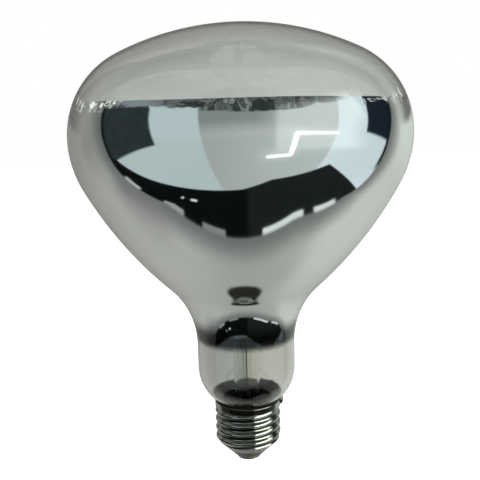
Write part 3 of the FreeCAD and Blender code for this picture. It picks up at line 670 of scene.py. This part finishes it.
def build_bulb(bulb):
    """Blown bulb of even wall, open at the seal where the stem is fused on."""
    outer, inner = Meridian(bulb, 0.0), Meridian(bulb, bulb.wall)
    bore = bulb.seal - bulb.wall
    pen = Lathe(0.0, outer.apex)
    pen.trace(outer.arcs_down())
    pen.line(outer.neck, bulb.neck_bottom)
    pen.arc(outer.base, 0.0, -outer.seal_turn)
    foot = pen.tip.co.z
    pen.path((bulb.seal, bulb.seal_bottom, arc_steps(bulb.seal, (foot - bulb.seal_bottom) / bulb.seal)),
             (bore, bulb.seal_bottom), (bore, inner.seal_height))
    pen.arc(inner.base, -inner.seal_turn, 0.0)
    pen.line(inner.neck, bulb.neck_top)
    pen.trace(backwards(inner.arcs_down()))
    mesh = pen.turn(BULB_SIDES)
    ripple(mesh, bulb)
    mesh_piece("blown_bulb", mesh, "clear_glass", clear_glass("bulb_glass", bulb.glass_tint, bulb),
               "glass_envelope")


def build_film(bulb):
    """Film on the inner wall, from the neck to above the widest part."""
    outer = Meridian(bulb, bulb.wall - bulb.film_sink)
    inner = Meridian(bulb, bulb.wall + bulb.film)
    pen = Lathe(*outer.start(bulb.film_top))
    pen.trace(outer.arcs_down(bulb.film_top, bulb.film_bottom))
    upwards = backwards(inner.arcs_down(bulb.film_top, bulb.film_bottom))
    pen.line(*point_on(inner.throat, inner.throat[0] - inner.neck, upwards[0][1]))
    pen.trace(upwards)
    mesh = pen.turn(BULB_SIDES, closed=True)
    ripple(mesh, bulb)
    mesh_piece("mirror_film", mesh, "mirror_film", mirror_film(bulb), "reflector_coating")


def build_stem(bulb, mount):
    """Flared tube, flattened above into the pinch that holds the leads."""
    rim = bulb.seal - bulb.wall
    tube, bore = mount.tube, mount.tube - mount.tube_wall
    low, flat, top = mount.press_bottom, mount.press_flat, mount.press_top
    level = bulb.seal_bottom + (rim - tube) + mount.tube_wall
    dome = 0.6 * bore
    pen = Lathe(0.0, low + dome)
    pen.path((0.5 * bore, low + 0.87 * dome), (0.87 * bore, low + 0.5 * dome), (bore, low),
             (bore, level, 6))
    pen.arc((rim, level), math.pi, 1.5 * math.pi)
    pen.line(rim, bulb.seal_bottom + mount.tube_wall)
    pen.arc((rim, level), 1.5 * math.pi, math.pi)
    pen.path((tube, low, 6), (tube, flat, 8), (tube, top - 0.8 * MM, 4),
             (tube - 0.25 * MM, top - 0.2 * MM), (tube - 0.9 * MM, top), (0.0, top))
    mesh = pen.turn(64)
    for vertex in mesh.verts:
        inside = math.hypot(vertex.co.x, vertex.co.y) < bore + TINY
        if vertex.co.z > low and not (inside and vertex.co.z < flat):
            part = min(1.0, (vertex.co.z - low) / (flat - low))
            ease = part * part * (3 - 2 * part)
            vertex.co.x *= 1 + ease * (mount.press_width / tube - 1)
            vertex.co.y *= 1 + ease * (mount.press_depth / tube - 1)
    rotate(mesh, mesh.verts[:], mount.turn, "Z")
    mesh_piece("stem_tube", mesh, "stem_glass", clear_glass("stem_glass", STEM_TINT), "stem_flare")


def rotate(mesh, verts, angle, axis, centre=(0, 0, 0)):
    bmesh.ops.rotate(mesh, verts=verts, cent=centre, matrix=Matrix.Rotation(angle, 3, axis))


def build_exhaust(mount):
    """Sealed exhaust tube, rounded off where it meets the pinch."""
    outer, inner = mount.exhaust, mount.exhaust - mount.exhaust_wall
    level, top = mount.exhaust_tip + outer, mount.press_bottom - 0.6 * MM
    pen = Lathe(0.0, mount.exhaust_tip)
    pen.arc((0.0, level), -QUARTER, 0.0)
    pen.line(outer, top, 10)
    pen.arc((inner, top), 0.0, QUARTER)
    pen.line(inner, level)
    pen.arc((0.0, level), 0.0, -QUARTER)
    mesh_piece("exhaust_glass", pen.turn(32), "stem_glass", clear_glass("tube_glass", STEM_TINT),
               "exhaust_tube")


def build_arbor(mount):
    """Glass rod on the pinch, with the button that holds the supports."""
    rod, button = mount.arbor, mount.button
    pen = Lathe(0.0, mount.press_top)
    pen.path((rod * 1.25, mount.press_top), (rod, mount.press_top + 1.2 * MM),
             (rod, mount.button_bottom, 10), (button, mount.button_bottom),
             (button, mount.button_top), (0.0, mount.button_top))
    pen.soften(0.7 * MM, 4)
    mesh_piece("arbor_glass", pen.turn(32), "stem_glass", clear_glass("arbor_glass", STEM_TINT),
               "arbor_rod")


def build_filament(mount):
    """Close coil of thin, flat tungsten wire, bent into an open ring."""
    middle = (0, mount.coil - mount.coil_wire, 0)
    arc = FULL_TURN - mount.opening
    run = arc * mount.ring
    steps = mount.coil_turns * STEPS_IN_TURN
    mesh = bmesh.new()
    made = bmesh.ops.create_circle(mesh, cap_ends=False, segments=6, radius=mount.coil_wire,
                                   matrix=Matrix.Translation(middle))
    wire = made["verts"]
    edges = edges_of(wire)
    for axis in "YZY":
        rotate(mesh, wire, QUARTER, axis, middle)
    bmesh.ops.spin(mesh, geom=wire + edges, cent=(0, 0, 0), axis=(1, 0, 0),
                   dvec=(run / steps, 0, 0), angle=FULL_TURN * mount.coil_turns, steps=steps)
    bmesh.ops.holes_fill(mesh, edges=[e for e in mesh.edges if e.is_boundary], sides=0)
    start = ring_start(mount)
    for vertex in mesh.verts:
        turn = start + arc * vertex.co.x / run
        out = mount.ring + vertex.co.y
        vertex.co = Vector((out * math.cos(turn), out * math.sin(turn),
                            mount.ring_height + vertex.co.z))
    face_outwards(mesh)
    mesh_piece("filament_coil", mesh, "tungsten", drawn_wire("coil_tungsten"), "filament")


def ring_start(mount):
    """Angle of the filament's first end."""
    return mount.opening / 2 - QUARTER + mount.turn


def edges_of(verts):
    return list({edge for vertex in verts for edge in vertex.link_edges})


def add_torus(mesh, radius, wire, place):
    """Adds one closed loop of wire."""
    loop = bmesh.ops.create_circle(mesh, cap_ends=False, segments=8, radius=wire)["verts"]
    edges = edges_of(loop)
    rotate(mesh, loop, QUARTER, "X")
    bmesh.ops.translate(mesh, verts=loop, vec=(radius, 0, 0))
    before = set(mesh.verts) - set(loop)
    bmesh.ops.spin(mesh, geom=loop + edges, cent=(0, 0, 0), axis=(0, 0, 1), angle=FULL_TURN,
                   steps=20, use_merge=True)
    added = [vertex for vertex in mesh.verts if vertex not in before]
    bmesh.ops.transform(mesh, matrix=place, verts=added)


def tie_loops(name, slot, finish, mount, wire, turns, shifts, lean=0.0):
    """Loops of wire round the filament, some at each of several places on its ring."""
    mesh = bmesh.new()
    flat = Matrix.Rotation(lean, 4, "Z") @ Matrix.Rotation(QUARTER, 4, "X")
    for turn in turns:
        for shift in shifts:
            place = Matrix.Translation((mount.ring, shift * MM, mount.ring_height))
            add_torus(mesh, mount.coil + wire, wire, Matrix.Rotation(turn, 4, "Z") @ place @ flat)
    mesh_piece(name, clean(mesh), slot, drawn_wire(finish))


def build_loops(mount):
    """Loops of the support wires round the filament, and the clamps of the leads."""
    start, arc = ring_start(mount), FULL_TURN - mount.opening
    step = arc / (mount.supports + 1)
    turns = [start + step * number for number in range(1, mount.supports + 1)]
    tie_loops("support_loops", "tungsten", "loop_tungsten", mount, mount.support_wire, turns,
              (-0.35, 0.25), 0.25)
    tie_loops("lead_clamps", "nickel_wire", "clamp_nickel", mount, 0.6 * mount.lead_wire,
              (start, start + arc), (-0.8, 0.0, 0.8))


def shell_radius(cap, turn, height):
    """Radius of the shell's outer face: rolled thread, taper below and collar above."""
    offset = cap.depth / 2
    phase = turn - FULL_TURN * (height - cap.crest) / cap.pitch
    thread = offset * math.cos(phase) + math.sqrt(cap.mean ** 2 - (offset * math.sin(phase)) ** 2)
    taper = cap.taper + height - cap.plug_bottom
    step = cap.height - cap.collar_length
    if height >= step:
        return cap.collar
    return max(min(thread, taper), cap.collar - (step - height))


def build_shell(cap):
    """Rolled shell: a sheet tube pressed to the thread below its plain collar."""
    rows, sides = 150, 144
    pen = Lathe(cap.collar, cap.lip)
    pen.line(cap.collar, cap.height, rows)
    mesh = pen.turn(sides)
    for vertex in mesh.verts:
        turn = math.atan2(vertex.co.y, vertex.co.x)
        radius = shell_radius(cap, turn, vertex.co.z)
        vertex.co.x, vertex.co.y = radius * math.cos(turn), radius * math.sin(turn)
    bmesh.ops.smooth_vert(mesh, verts=mesh.verts[:], factor=0.5, use_axis_x=True,
                          use_axis_y=True, use_axis_z=False)
    face_outwards(mesh)
    piece = mesh_piece("screw_shell_plated", mesh, "plated_shell", plated_shell(cap), "screw_shell")
    wall = piece.modifiers.new("sheet", "SOLIDIFY")
    wall.thickness = cap.wall
    wall.offset = -1.0
    wall.use_rim = True


def build_insulator(cap):
    """Black glass plug with rounded edges, hollow above its floor."""
    lip_radius = cap.taper + cap.lip - cap.plug_bottom
    seat = lip_radius - math.sqrt(2) * cap.wall
    rim = seat + cap.plug_top - cap.lip
    inner = rim - cap.plug_rim
    pen = Lathe(cap.outside_shadow_spot, cap.plug_bottom)
    pen.path((cap.taper, cap.plug_bottom), (lip_radius, cap.lip), (seat, cap.lip),
             (rim, cap.plug_top), (inner, cap.plug_top),
             (inner - cap.plug_top + cap.plug_floor, cap.plug_floor), (cap.outside_shadow_spot, cap.plug_floor))
    pen.soften(0.18 * MM)
    mesh_piece("black_plug", pen.turn(96, closed=True), "black_glass", black_glass(), "cap_insulator")


def build_contact(cap):
    """Stamped contact disc and the drop of solder at its middle."""
    low = cap.contact_bottom
    pen = Lathe(cap.outside_shadow_spot, low)
    pen.path((cap.contact, low), (cap.contact, cap.plug_bottom), (cap.outside_shadow_spot, cap.plug_bottom))
    pen.soften(0.2 * MM)
    mesh_piece("contact_disc", pen.turn(64, closed=True), "contact_brass",
               dull_metal("contact_brass"), "centre_contact")

    spread = cap.solder - cap.solder_flat
    bulge = (spread ** 2 + low ** 2) / (2 * low)
    pen = Lathe(0.0, 0.0)
    pen.line(cap.solder_flat, 0.0, 4)
    pen.arc((cap.solder_flat, bulge), -QUARTER, math.atan2(low - bulge, spread))
    pen.line(0.0, low)
    mesh = pen.turn(48)
    grain, lumpiness, taper = 420, 0.12 * MM, 0.03
    for vertex in mesh.verts:
        lump = noise.noise(vertex.co * grain) * lumpiness
        flank = min(1.0, vertex.co.z / (0.5 * low))
        vertex.co.xy *= 1 - taper * flank + lump / cap.solder * flank
    mesh_piece("tip_solder", mesh, "solder", dull_metal("tip_solder"), "centre_solder")


def build_rim_solder(cap):
    """Lumpy drop of solder that ties the side lead to the rim."""
    mesh = bmesh.new()
    bmesh.ops.create_icosphere(mesh, subdivisions=4, radius=1.0)
    half = Vector((cap.side_depth, cap.side_width / 2, cap.side_height / 2))
    place = Vector((cap.collar + 0.15 * MM, 0.0, cap.height - cap.side_drop))
    waves, dents = 0.1, 0.04
    for vertex in mesh.verts:
        lump = 1 + waves * noise.noise(vertex.co * 1.6) + dents * noise.noise(vertex.co * 5.0)
        vertex.co = place + Vector(a * b for a, b in zip(vertex.co * min(lump, 1.0), half))
    face_outwards(mesh)
    mesh_piece("rim_solder", mesh, "solder", dull_metal("rim_solder"), "side_solder")


def build_cement(bulb, cap):
    """Ring of cement with a rough top between the glass and the shell."""
    gap, grain, rough = 0.05 * MM, 900, 0.35 * MM
    outer = Meridian(bulb, -gap)
    seal = bulb.seal + gap
    minor = cap.mean - cap.depth / 2 - cap.wall - 2 * gap
    collar = cap.collar - cap.wall - 2 * gap
    step = cap.height - cap.collar_length
    turn = math.asin((outer.base[1] - cap.cement_top) / outer.base_reach)
    pen = Lathe(outer.base[0] + outer.base_reach * math.cos(turn), cap.cement_top)
    pen.path((collar, cap.cement_top, 6), (collar, step), (minor, step - collar + minor),
             (minor, cap.cement_bottom), (seal, cap.cement_bottom), (seal, outer.seal_height))
    mesh = pen.turn(128, closed=True)
    for vertex in mesh.verts:
        if vertex.co.z > cap.cement_top - TINY:
            vertex.co.z += (noise.noise(vertex.co * grain) - 0.3) * rough
    mesh_piece("cement_ring", mesh, "cement", baked_cement(), "basing_cement")


def dress_wires():
    """Gives the carried-over leads, supports and seal wires their finishes."""
    for finish, slot, nodes in CARRIED_WIRES:
        material = drawn_wire(finish)
        for node in nodes:
            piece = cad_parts[node]
            piece.data.materials.clear()
            piece.data.materials.append(material)


# Studio: floor, soft lamps, camera, and the pale and dark panels that the mirror shows.

# Directions are measured along the table's plane, which leans back, and across it
TABLE_TILT = math.radians(20)
TABLE_EDGE = -0.12
EDGE_DROP = 0.21
SOFT = 0.015

# Fields of light on the walls: limits and softness across, then up
STRIP_LIGHTS = (
    ((0.70, 2.0, 0.05), (-0.245, -0.175, 0.02)),
    ((0.34, 0.74, 0.04), (-0.775, -0.70, 0.02)),
    ((0.675, 0.755, 0.02), (-0.74, -0.21, 0.02)),
)
GLOWS = (
    ((0.55, 2.0, 0.3), (-0.28, -0.14, 0.16)),
    ((0.30, 0.80, 0.2), (-0.80, -0.62, 0.18)),
)

# Pale floor seen left of the axis under the desk: limits across, and strength
FLOOR_GAPS = ((-0.34, -0.15, 0.3), (-0.62, -0.48, 0.45), (-0.9, -0.8, 0.6))

# Cards in front of the cap: limits and softness across, then up, and tone
CARDS = (
    ((-0.86, 0.90, 0.05), (-0.60, -0.24, 0.04), (0.026, 0.030, 0.028)),
    ((-0.88, 0.33, 0.04), (-0.90, 0.08, 0.06), (0.008, 0.009, 0.007)),
    ((0.36, 0.97, 0.04), (-0.16, 0.60, 0.06), (3.8, 3.95, 3.6)),
)

# Soft lamps: place, diameter and power
LAMPS = (
    ("key_lamp", (0.55, -0.70, 0.65), 0.5, 5.0),
    ("fill_lamp", (-0.75, -0.45, 0.30), 0.6, 2.0),
    ("back_lamp", (0.10, 0.80, 0.55), 0.5, 2.5),
)


def highest(first, *others):
    for other in others:
        first = first.math("MAXIMUM", first, other)
    return first


def fields(across, up, limits):
    """Share of light inside any of the fields."""
    return highest(*(across.within(*sides) * up.within(*heights) for sides, heights in limits))


def table_edge(across):
    """The table's edge, which drops at the right."""
    return TABLE_EDGE - EDGE_DROP * across.smooth(0.4, 0.8)


def paint_walls(paint, across, ahead, lift):
    """Pale walls with their corners, a dark door at the left and a navy board at the right."""
    ground = highest(ahead, 0.05)
    slope, rise = across / ground, lift / ground
    shadow = lift.smooth(-0.22, 0.12) * (1 - across.smooth(0.12, 0.5) * 0.8) * 0.62
    corner = (across + 0.47 * ahead).smooth(-0.02, 0.02)
    door = (across + 1.54 * ahead).smooth(-0.03, 0.03)
    door = (1 - door) * lift.smooth(-0.26, -0.22) * (1 - across.smooth(-0.05, 0.05))
    stains = paint.speckle(9, 3.0, 0.6, paint.place("Generated"))
    board = (across - 12 * ahead).smooth(-0.1, 0.1) * lift.smooth(-0.02, 0.03)
    return paint.layers(
        (0.40, 0.44, 0.42),
        (across.smooth(-0.45, 0.75), (0.52, 0.585, 0.575)),
        (shadow, (0.13, 0.155, 0.145)),
        (1 - corner, (0.50, 0.60, 0.61)),
        (door, paint.blend(stains, (0.012, 0.020, 0.021), (0.036, 0.052, 0.053))),
        ((across - 1.9 * ahead).smooth(-0.03, 0.03), (0.70, 0.82, 0.855)),
        (board * across.smooth(0.0, 0.2), (0.010, 0.016, 0.028)),
        (fields(slope, rise, GLOWS) * 0.35, (1.05, 1.15, 1.15)),
        (fields(slope, rise, STRIP_LIGHTS), (1.7, 1.8, 1.8)))


def paint_valance(paint, across, lift, walls):
    """Grey-green hanging above the walls, with an uneven lower edge."""
    place = paint.place("Generated")
    wave = paint.speckle(3.5, 2.0, 0.5, place)
    fold = paint.speckle(4.0, 2.0, 0.5, place, 1.6)
    edge = lift - 0.22 * (across * across) + 0.08 * (wave - 0.5)
    cover = edge.smooth(0.21, 0.23) * across.within(-0.96, 0.82, 0.06)
    shine = highest(fold.within(0.49, 0.52, 0.012), fold.within(0.60, 0.62, 0.008))
    cloth = paint.layers((0.022, 0.030, 0.027),
                         (fold.smooth(0.3, 0.7), (0.080, 0.096, 0.090)),
                         (shine * 0.45, (0.50, 0.55, 0.53)),
                         (1 - across.smooth(-0.80, -0.62), (0.23, 0.265, 0.255)))
    return paint.blend(cover, walls, cloth)


def paint_desk(paint, across, ahead, lift, room):
    """Dark desk below the walls, with the pale floor and its dark feet along the table."""
    ground = highest(0 - lift, 0.05)
    beside, beyond = across / ground, ahead / ground
    bend = 0.41 + 0.13 * beside + 0.35 * highest(beside, 0.0)
    far_edge = bend.math("MINIMUM", bend, 0.58)
    top = (far_edge - beyond).smooth(-SOFT, SOFT) * (1 - beside.smooth(1.52, 1.56))
    top = top * (0 - lift).smooth(0.19, 0.23)
    shade = paint.blend(across.smooth(0.02, 0.08), (0.0035, 0.0045, 0.0045), (0.011, 0.0155, 0.0155))
    sockets = highest(beside.within(-0.615, -0.585, 0.008), beside.within(-0.50, -0.43, 0.008))

    above = ahead - table_edge(across)
    frame_line = (1 - above.smooth(0.03, 0.06)) * lift.smooth(-0.35, -0.2)
    near = above.within(-0.02, 0.045, 0.008) * (0 - lift).smooth(0.2, 0.3)
    feet = highest(across.within(0.49, 0.56, 0.01), across.within(0.68, 0.75, 0.01))
    gaps = [across.within(left, right, 0.01) * share for left, right, share in FLOOR_GAPS]
    gaps = highest(across.within(0.17, 0.73, 0.01) * (1 - feet) * 0.95, *gaps)
    return paint.layers(
        room,
        (top, shade),
        (sockets * beyond.within(0.075, 0.12, 0.008), (0.75, 0.8, 0.8)),
        (frame_line, (0.004, 0.006, 0.006)),
        (near * gaps, (0.78, 0.84, 0.82)))


def paint_table(paint, across, along, up, ahead, lift):
    """Pale table, darker towards its edge and far behind the lamp, with a painted shadow straight below
    the lamp.
    """
    drift = paint.speckle(2.2, 3.0, 0.5, paint.place("Generated"))
    right = paint.layers((0.60, 0.64, 0.59),
                         ((0 - lift).smooth(0.65, 0.85), (0.42, 0.45, 0.41)),
                         (lift.smooth(-0.1, 0.2), (0.72, 0.77, 0.71)))
    left = paint.blend(lift.smooth(-0.6, 0.2), (0.450, 0.455, 0.430), (0.310, 0.315, 0.290))
    above = ahead - table_edge(across)
    near_left = (0 - across).smooth(0.45, 0.75) * (0 - lift).smooth(0.25, 0.5)
    # Painted shadow: a dark oval on the table straight below the lamp.
    outside_shadow_spot = ((across * across) / 0.0225 + (ahead + 0.56).power(2) / 0.0049).smooth(0.7, 1.3)
    return paint.layers(
        (0.375, 0.385, 0.360),
        (across.smooth(0.0, 0.6), right),
        ((0 - across).smooth(0.05, 0.5), left),
        (drift.smooth(0.3, 0.75) * 0.15, (0.50, 0.51, 0.48)),
        (above.smooth(-0.26, 0.0) * 0.85, (0.13, 0.14, 0.135)),
        (above.smooth(-0.55, -0.1) * near_left * 0.95, (0.20, 0.205, 0.195)),
        (along.smooth(0.5, 0.8) * up.smooth(0.0, 0.06), (0.19, 0.19, 0.18)),
        ((1 - outside_shadow_spot) * (0 - up).smooth(0.5, 0.7), (0.020, 0.022, 0.018)))


def paint_glints(paint, across, ahead, lift, seen):
    """Small lights beside the table, which the creased rim of the film shows as white flecks."""
    spots = paint.speckle(16, 1.0, 0.5, paint.place("Generated")).smooth(0.57, 0.61)
    beside = highest(across, 0 - across).smooth(0.50, 0.56)
    ring = lift.within(0.405, 0.475, 0.015) * (0 - ahead).smooth(-0.20, -0.12)
    return paint.blend(spots * beside * ring, seen, (1.25, 1.3, 1.25))


def paint_cards(paint, across, along, up, seen):
    """Dark cards and a bright one in front of the cap, which give the plating its contrast."""
    front = (0 - along).smooth(0.0, 0.1)
    beside = highest(across, 0 - across)
    blotch = beside.smooth(0.82, 0.90) * along.within(-0.50, 0.60, 0.12) * up.within(-0.85, 0.40, 0.1)
    cards = [(across.within(*sides) * up.within(*heights) * front, tone)
             for sides, heights, tone in CARDS]
    return paint.layers(seen, (blotch * 0.95, (0.026, 0.027, 0.019)), *cards)


def plain_room(paint, across, up):
    """Even tones that are seen through both walls of the bulb."""
    upper = paint.blend(across.smooth(-0.25, 0.25), (0.46, 0.475, 0.445), (0.595, 0.63, 0.585))
    lower = paint.blend(across.smooth(-0.06, 0.06), (0.30, 0.31, 0.285), (0.46, 0.465, 0.405))
    return paint.layers(upper,
                        ((0 - up).smooth(0.12, 0.32), lower),
                        (up.smooth(0.1, 0.9), (0.85, 0.87, 0.85)),
                        ((0 - up).smooth(0.60, 0.85), (0.028, 0.029, 0.015)))


def build_world(studio):
    """Even pale light, which the mirror and the metal see as walls, a desk and a table."""
    world = bpy.data.worlds.new("studio_light")
    bpy.context.scene.world = world
    paint = Paint(world)
    across, along, up = paint.axes("Generated")
    ahead = up * math.sin(TABLE_TILT) - along * math.cos(TABLE_TILT)
    lift = along * math.sin(TABLE_TILT) + up * math.cos(TABLE_TILT)
    room = paint_walls(paint, across, ahead, lift)
    room = paint_valance(paint, across, lift, room)
    room = paint_desk(paint, across, ahead, lift, room)
    table = paint_table(paint, across, along, up, ahead, lift)
    above = ahead - table_edge(across)
    pattern = paint.blend(above.smooth(-SOFT, SOFT), table, room)
    pattern = paint_glints(paint, across, ahead, lift, pattern)

    path = paint.add("ShaderNodeLightPath").outputs
    depth = Number(paint, path["Transmission Depth"])
    seen = paint.layers(
        paint_cards(paint, across, along, up, pattern),
        (depth.smooth(0.4, 0.6), pattern),
        (depth.smooth(2.4, 2.6), plain_room(paint, across, up)),
        (path["Is Diffuse Ray"], (studio.ambient,) * 3),
        (path["Is Camera Ray"], WHITE))
    shader = paint.add("ShaderNodeBackground", {}, {"Color": seen, "Strength": 1.0})
    paint.finish(shader.outputs[0], "ShaderNodeOutputWorld")


def build_floor(studio):
    """Pale floor below the lamp, which only the camera and soft light see."""
    mesh = bmesh.new()
    bmesh.ops.create_grid(mesh, x_segments=4, y_segments=4, size=3.0,
                          matrix=Matrix.Translation((0, 0, studio.floor)))
    paint = new_paint("pale_floor")
    pale = paint.surface({
        "Base Color": paint.blend(paint.speckle(6, 2.0), (0.80, 0.80, 0.79), (0.84, 0.84, 0.83)),
        "Roughness": 0.9,
    })
    camera_ray = Number(paint, paint.add("ShaderNodeLightPath").outputs["Is Camera Ray"])
    glow = paint.add("ShaderNodeEmission", {}, {
        "Color": rgba(WHITE), "Strength": camera_ray * 0.55})
    both = paint.add("ShaderNodeAddShader", {}, {0: pale, 1: glow.outputs[0]})
    floor = mesh_object("studio_floor", mesh, paint.finish(both.outputs[0]))
    hide_from_mirror(floor)


def hide_from_mirror(item):
    item.visible_glossy = False
    item.visible_transmission = False


def add_lamp(name, place, goal, size, power):
    data = bpy.data.lights.new(name, "AREA")
    data.shape = "DISK"
    data.size = size
    data.energy = power
    lamp = add_object(name, data)
    lamp.location = place
    lamp.rotation_euler = (Vector(goal) - Vector(place)).to_track_quat("-Z", "Y").to_euler()
    hide_from_mirror(lamp)


def build_camera(studio):
    """Camera of the photograph: in front, looking down a little, with the lamp leaning."""
    data = bpy.data.cameras.new("photo_camera")
    data.lens = studio.focal * data.sensor_width
    data.clip_start = 0.01
    data.dof.use_dof = False
    camera = add_object("photo_camera", data)
    tilt, lean = studio.pitch, studio.roll
    ahead = Vector((0, math.cos(tilt), -math.sin(tilt)))
    above = Vector((0, math.sin(tilt), math.cos(tilt)))
    right = Vector((1, 0, 0))
    side = math.cos(lean) * right - math.sin(lean) * above
    top = math.sin(lean) * right + math.cos(lean) * above
    turn = Matrix((side, top, -ahead)).transposed().to_4x4()
    camera.matrix_world = Matrix.Translation((studio.aside, -studio.distance, studio.level)) @ turn
    bpy.context.scene.camera = camera


def build_studio(studio):
    middle = (0.0, 0.0, 0.5 * CAD_BOX[1][2])
    for name, place, size, power in LAMPS:
        add_lamp(name, place, middle, size, power)
    build_world(studio)
    build_floor(studio)
    build_camera(studio)
    bpy.context.scene.view_settings.view_transform = "Standard"


# Operators and panel

def settings(context):
    return context.scene.heat_lamp


class HEATLAMP_OT_bulb(bpy.types.Operator):
    """Blow the clear bulb"""
    bl_idname = "heatlamp.bulb"
    bl_label = "Blown Bulb"

    def execute(self, context):
        build_bulb(settings(context).bulb)
        return {"FINISHED"}


class HEATLAMP_OT_film(bpy.types.Operator):
    """Lay the aluminium film on the inside of the bulb"""
    bl_idname = "heatlamp.film"
    bl_label = "Mirror Film"

    def execute(self, context):
        build_film(settings(context).bulb)
        return {"FINISHED"}


class HEATLAMP_OT_stem(bpy.types.Operator):
    """Make the stem, its exhaust tube and the arbor of glass"""
    bl_idname = "heatlamp.stem"
    bl_label = "Stem Glass"

    def execute(self, context):
        lamp = settings(context)
        build_stem(lamp.bulb, lamp.mount)
        build_exhaust(lamp.mount)
        build_arbor(lamp.mount)
        return {"FINISHED"}


class HEATLAMP_OT_filament(bpy.types.Operator):
    """Coil the filament and fasten it with loops and clamps"""
    bl_idname = "heatlamp.filament"
    bl_label = "Filament"

    def execute(self, context):
        build_filament(settings(context).mount)
        build_loops(settings(context).mount)
        return {"FINISHED"}


class HEATLAMP_OT_wires(bpy.types.Operator):
    """Finish the leads, supports and seal wires"""
    bl_idname = "heatlamp.wires"
    bl_label = "Wires"

    def execute(self, context):
        dress_wires()
        return {"FINISHED"}


class HEATLAMP_OT_shell(bpy.types.Operator):
    """Roll the threaded shell of the cap"""
    bl_idname = "heatlamp.shell"
    bl_label = "Screw Shell"

    def execute(self, context):
        build_shell(settings(context).cap)
        return {"FINISHED"}


class HEATLAMP_OT_contact(bpy.types.Operator):
    """Set the black glass plug, the contact and the solder"""
    bl_idname = "heatlamp.contact"
    bl_label = "Plug, Contact and Solder"

    def execute(self, context):
        cap = settings(context).cap
        build_insulator(cap)
        build_contact(cap)
        build_rim_solder(cap)
        return {"FINISHED"}


class HEATLAMP_OT_cement(bpy.types.Operator):
    """Fill the gap between the glass and the shell"""
    bl_idname = "heatlamp.cement"
    bl_label = "Cement"

    def execute(self, context):
        build_cement(settings(context).bulb, settings(context).cap)
        return {"FINISHED"}


class HEATLAMP_OT_studio(bpy.types.Operator):
    """Set up the floor, the lights and the camera"""
    bl_idname = "heatlamp.studio"
    bl_label = "Studio"

    def execute(self, context):
        build_studio(settings(context).studio)
        return {"FINISHED"}


OPERATORS = (
    HEATLAMP_OT_studio,
    HEATLAMP_OT_bulb,
    HEATLAMP_OT_film,
    HEATLAMP_OT_stem,
    HEATLAMP_OT_filament,
    HEATLAMP_OT_wires,
    HEATLAMP_OT_shell,
    HEATLAMP_OT_contact,
    HEATLAMP_OT_cement,
)


class HEATLAMP_PT_panel(bpy.types.Panel):
    """Lists the steps that build the lamp"""
    bl_idname = "HEATLAMP_PT_panel"
    bl_label = "Heat Lamp"
    bl_space_type = "VIEW_3D"
    bl_region_type = "UI"
    bl_category = "Heat Lamp"

    def draw(self, context):
        for operator in OPERATORS:
            self.layout.operator(operator.bl_idname)


CLASSES = (BulbSettings, MountSettings, CapSettings, StudioSettings, LampSettings,
           *OPERATORS, HEATLAMP_PT_panel)


def register():
    for item in CLASSES:
        bpy.utils.register_class(item)
    bpy.types.Scene.heat_lamp = PointerProperty(type=LampSettings)


def unregister():
    del bpy.types.Scene.heat_lamp
    for item in reversed(CLASSES):
        bpy.utils.unregister_class(item)


def main():
    register()
    for operator in OPERATORS:
        getattr(bpy.ops.heatlamp, operator.bl_idname.split(".")[1])()


if __name__ == "__main__":
    main()
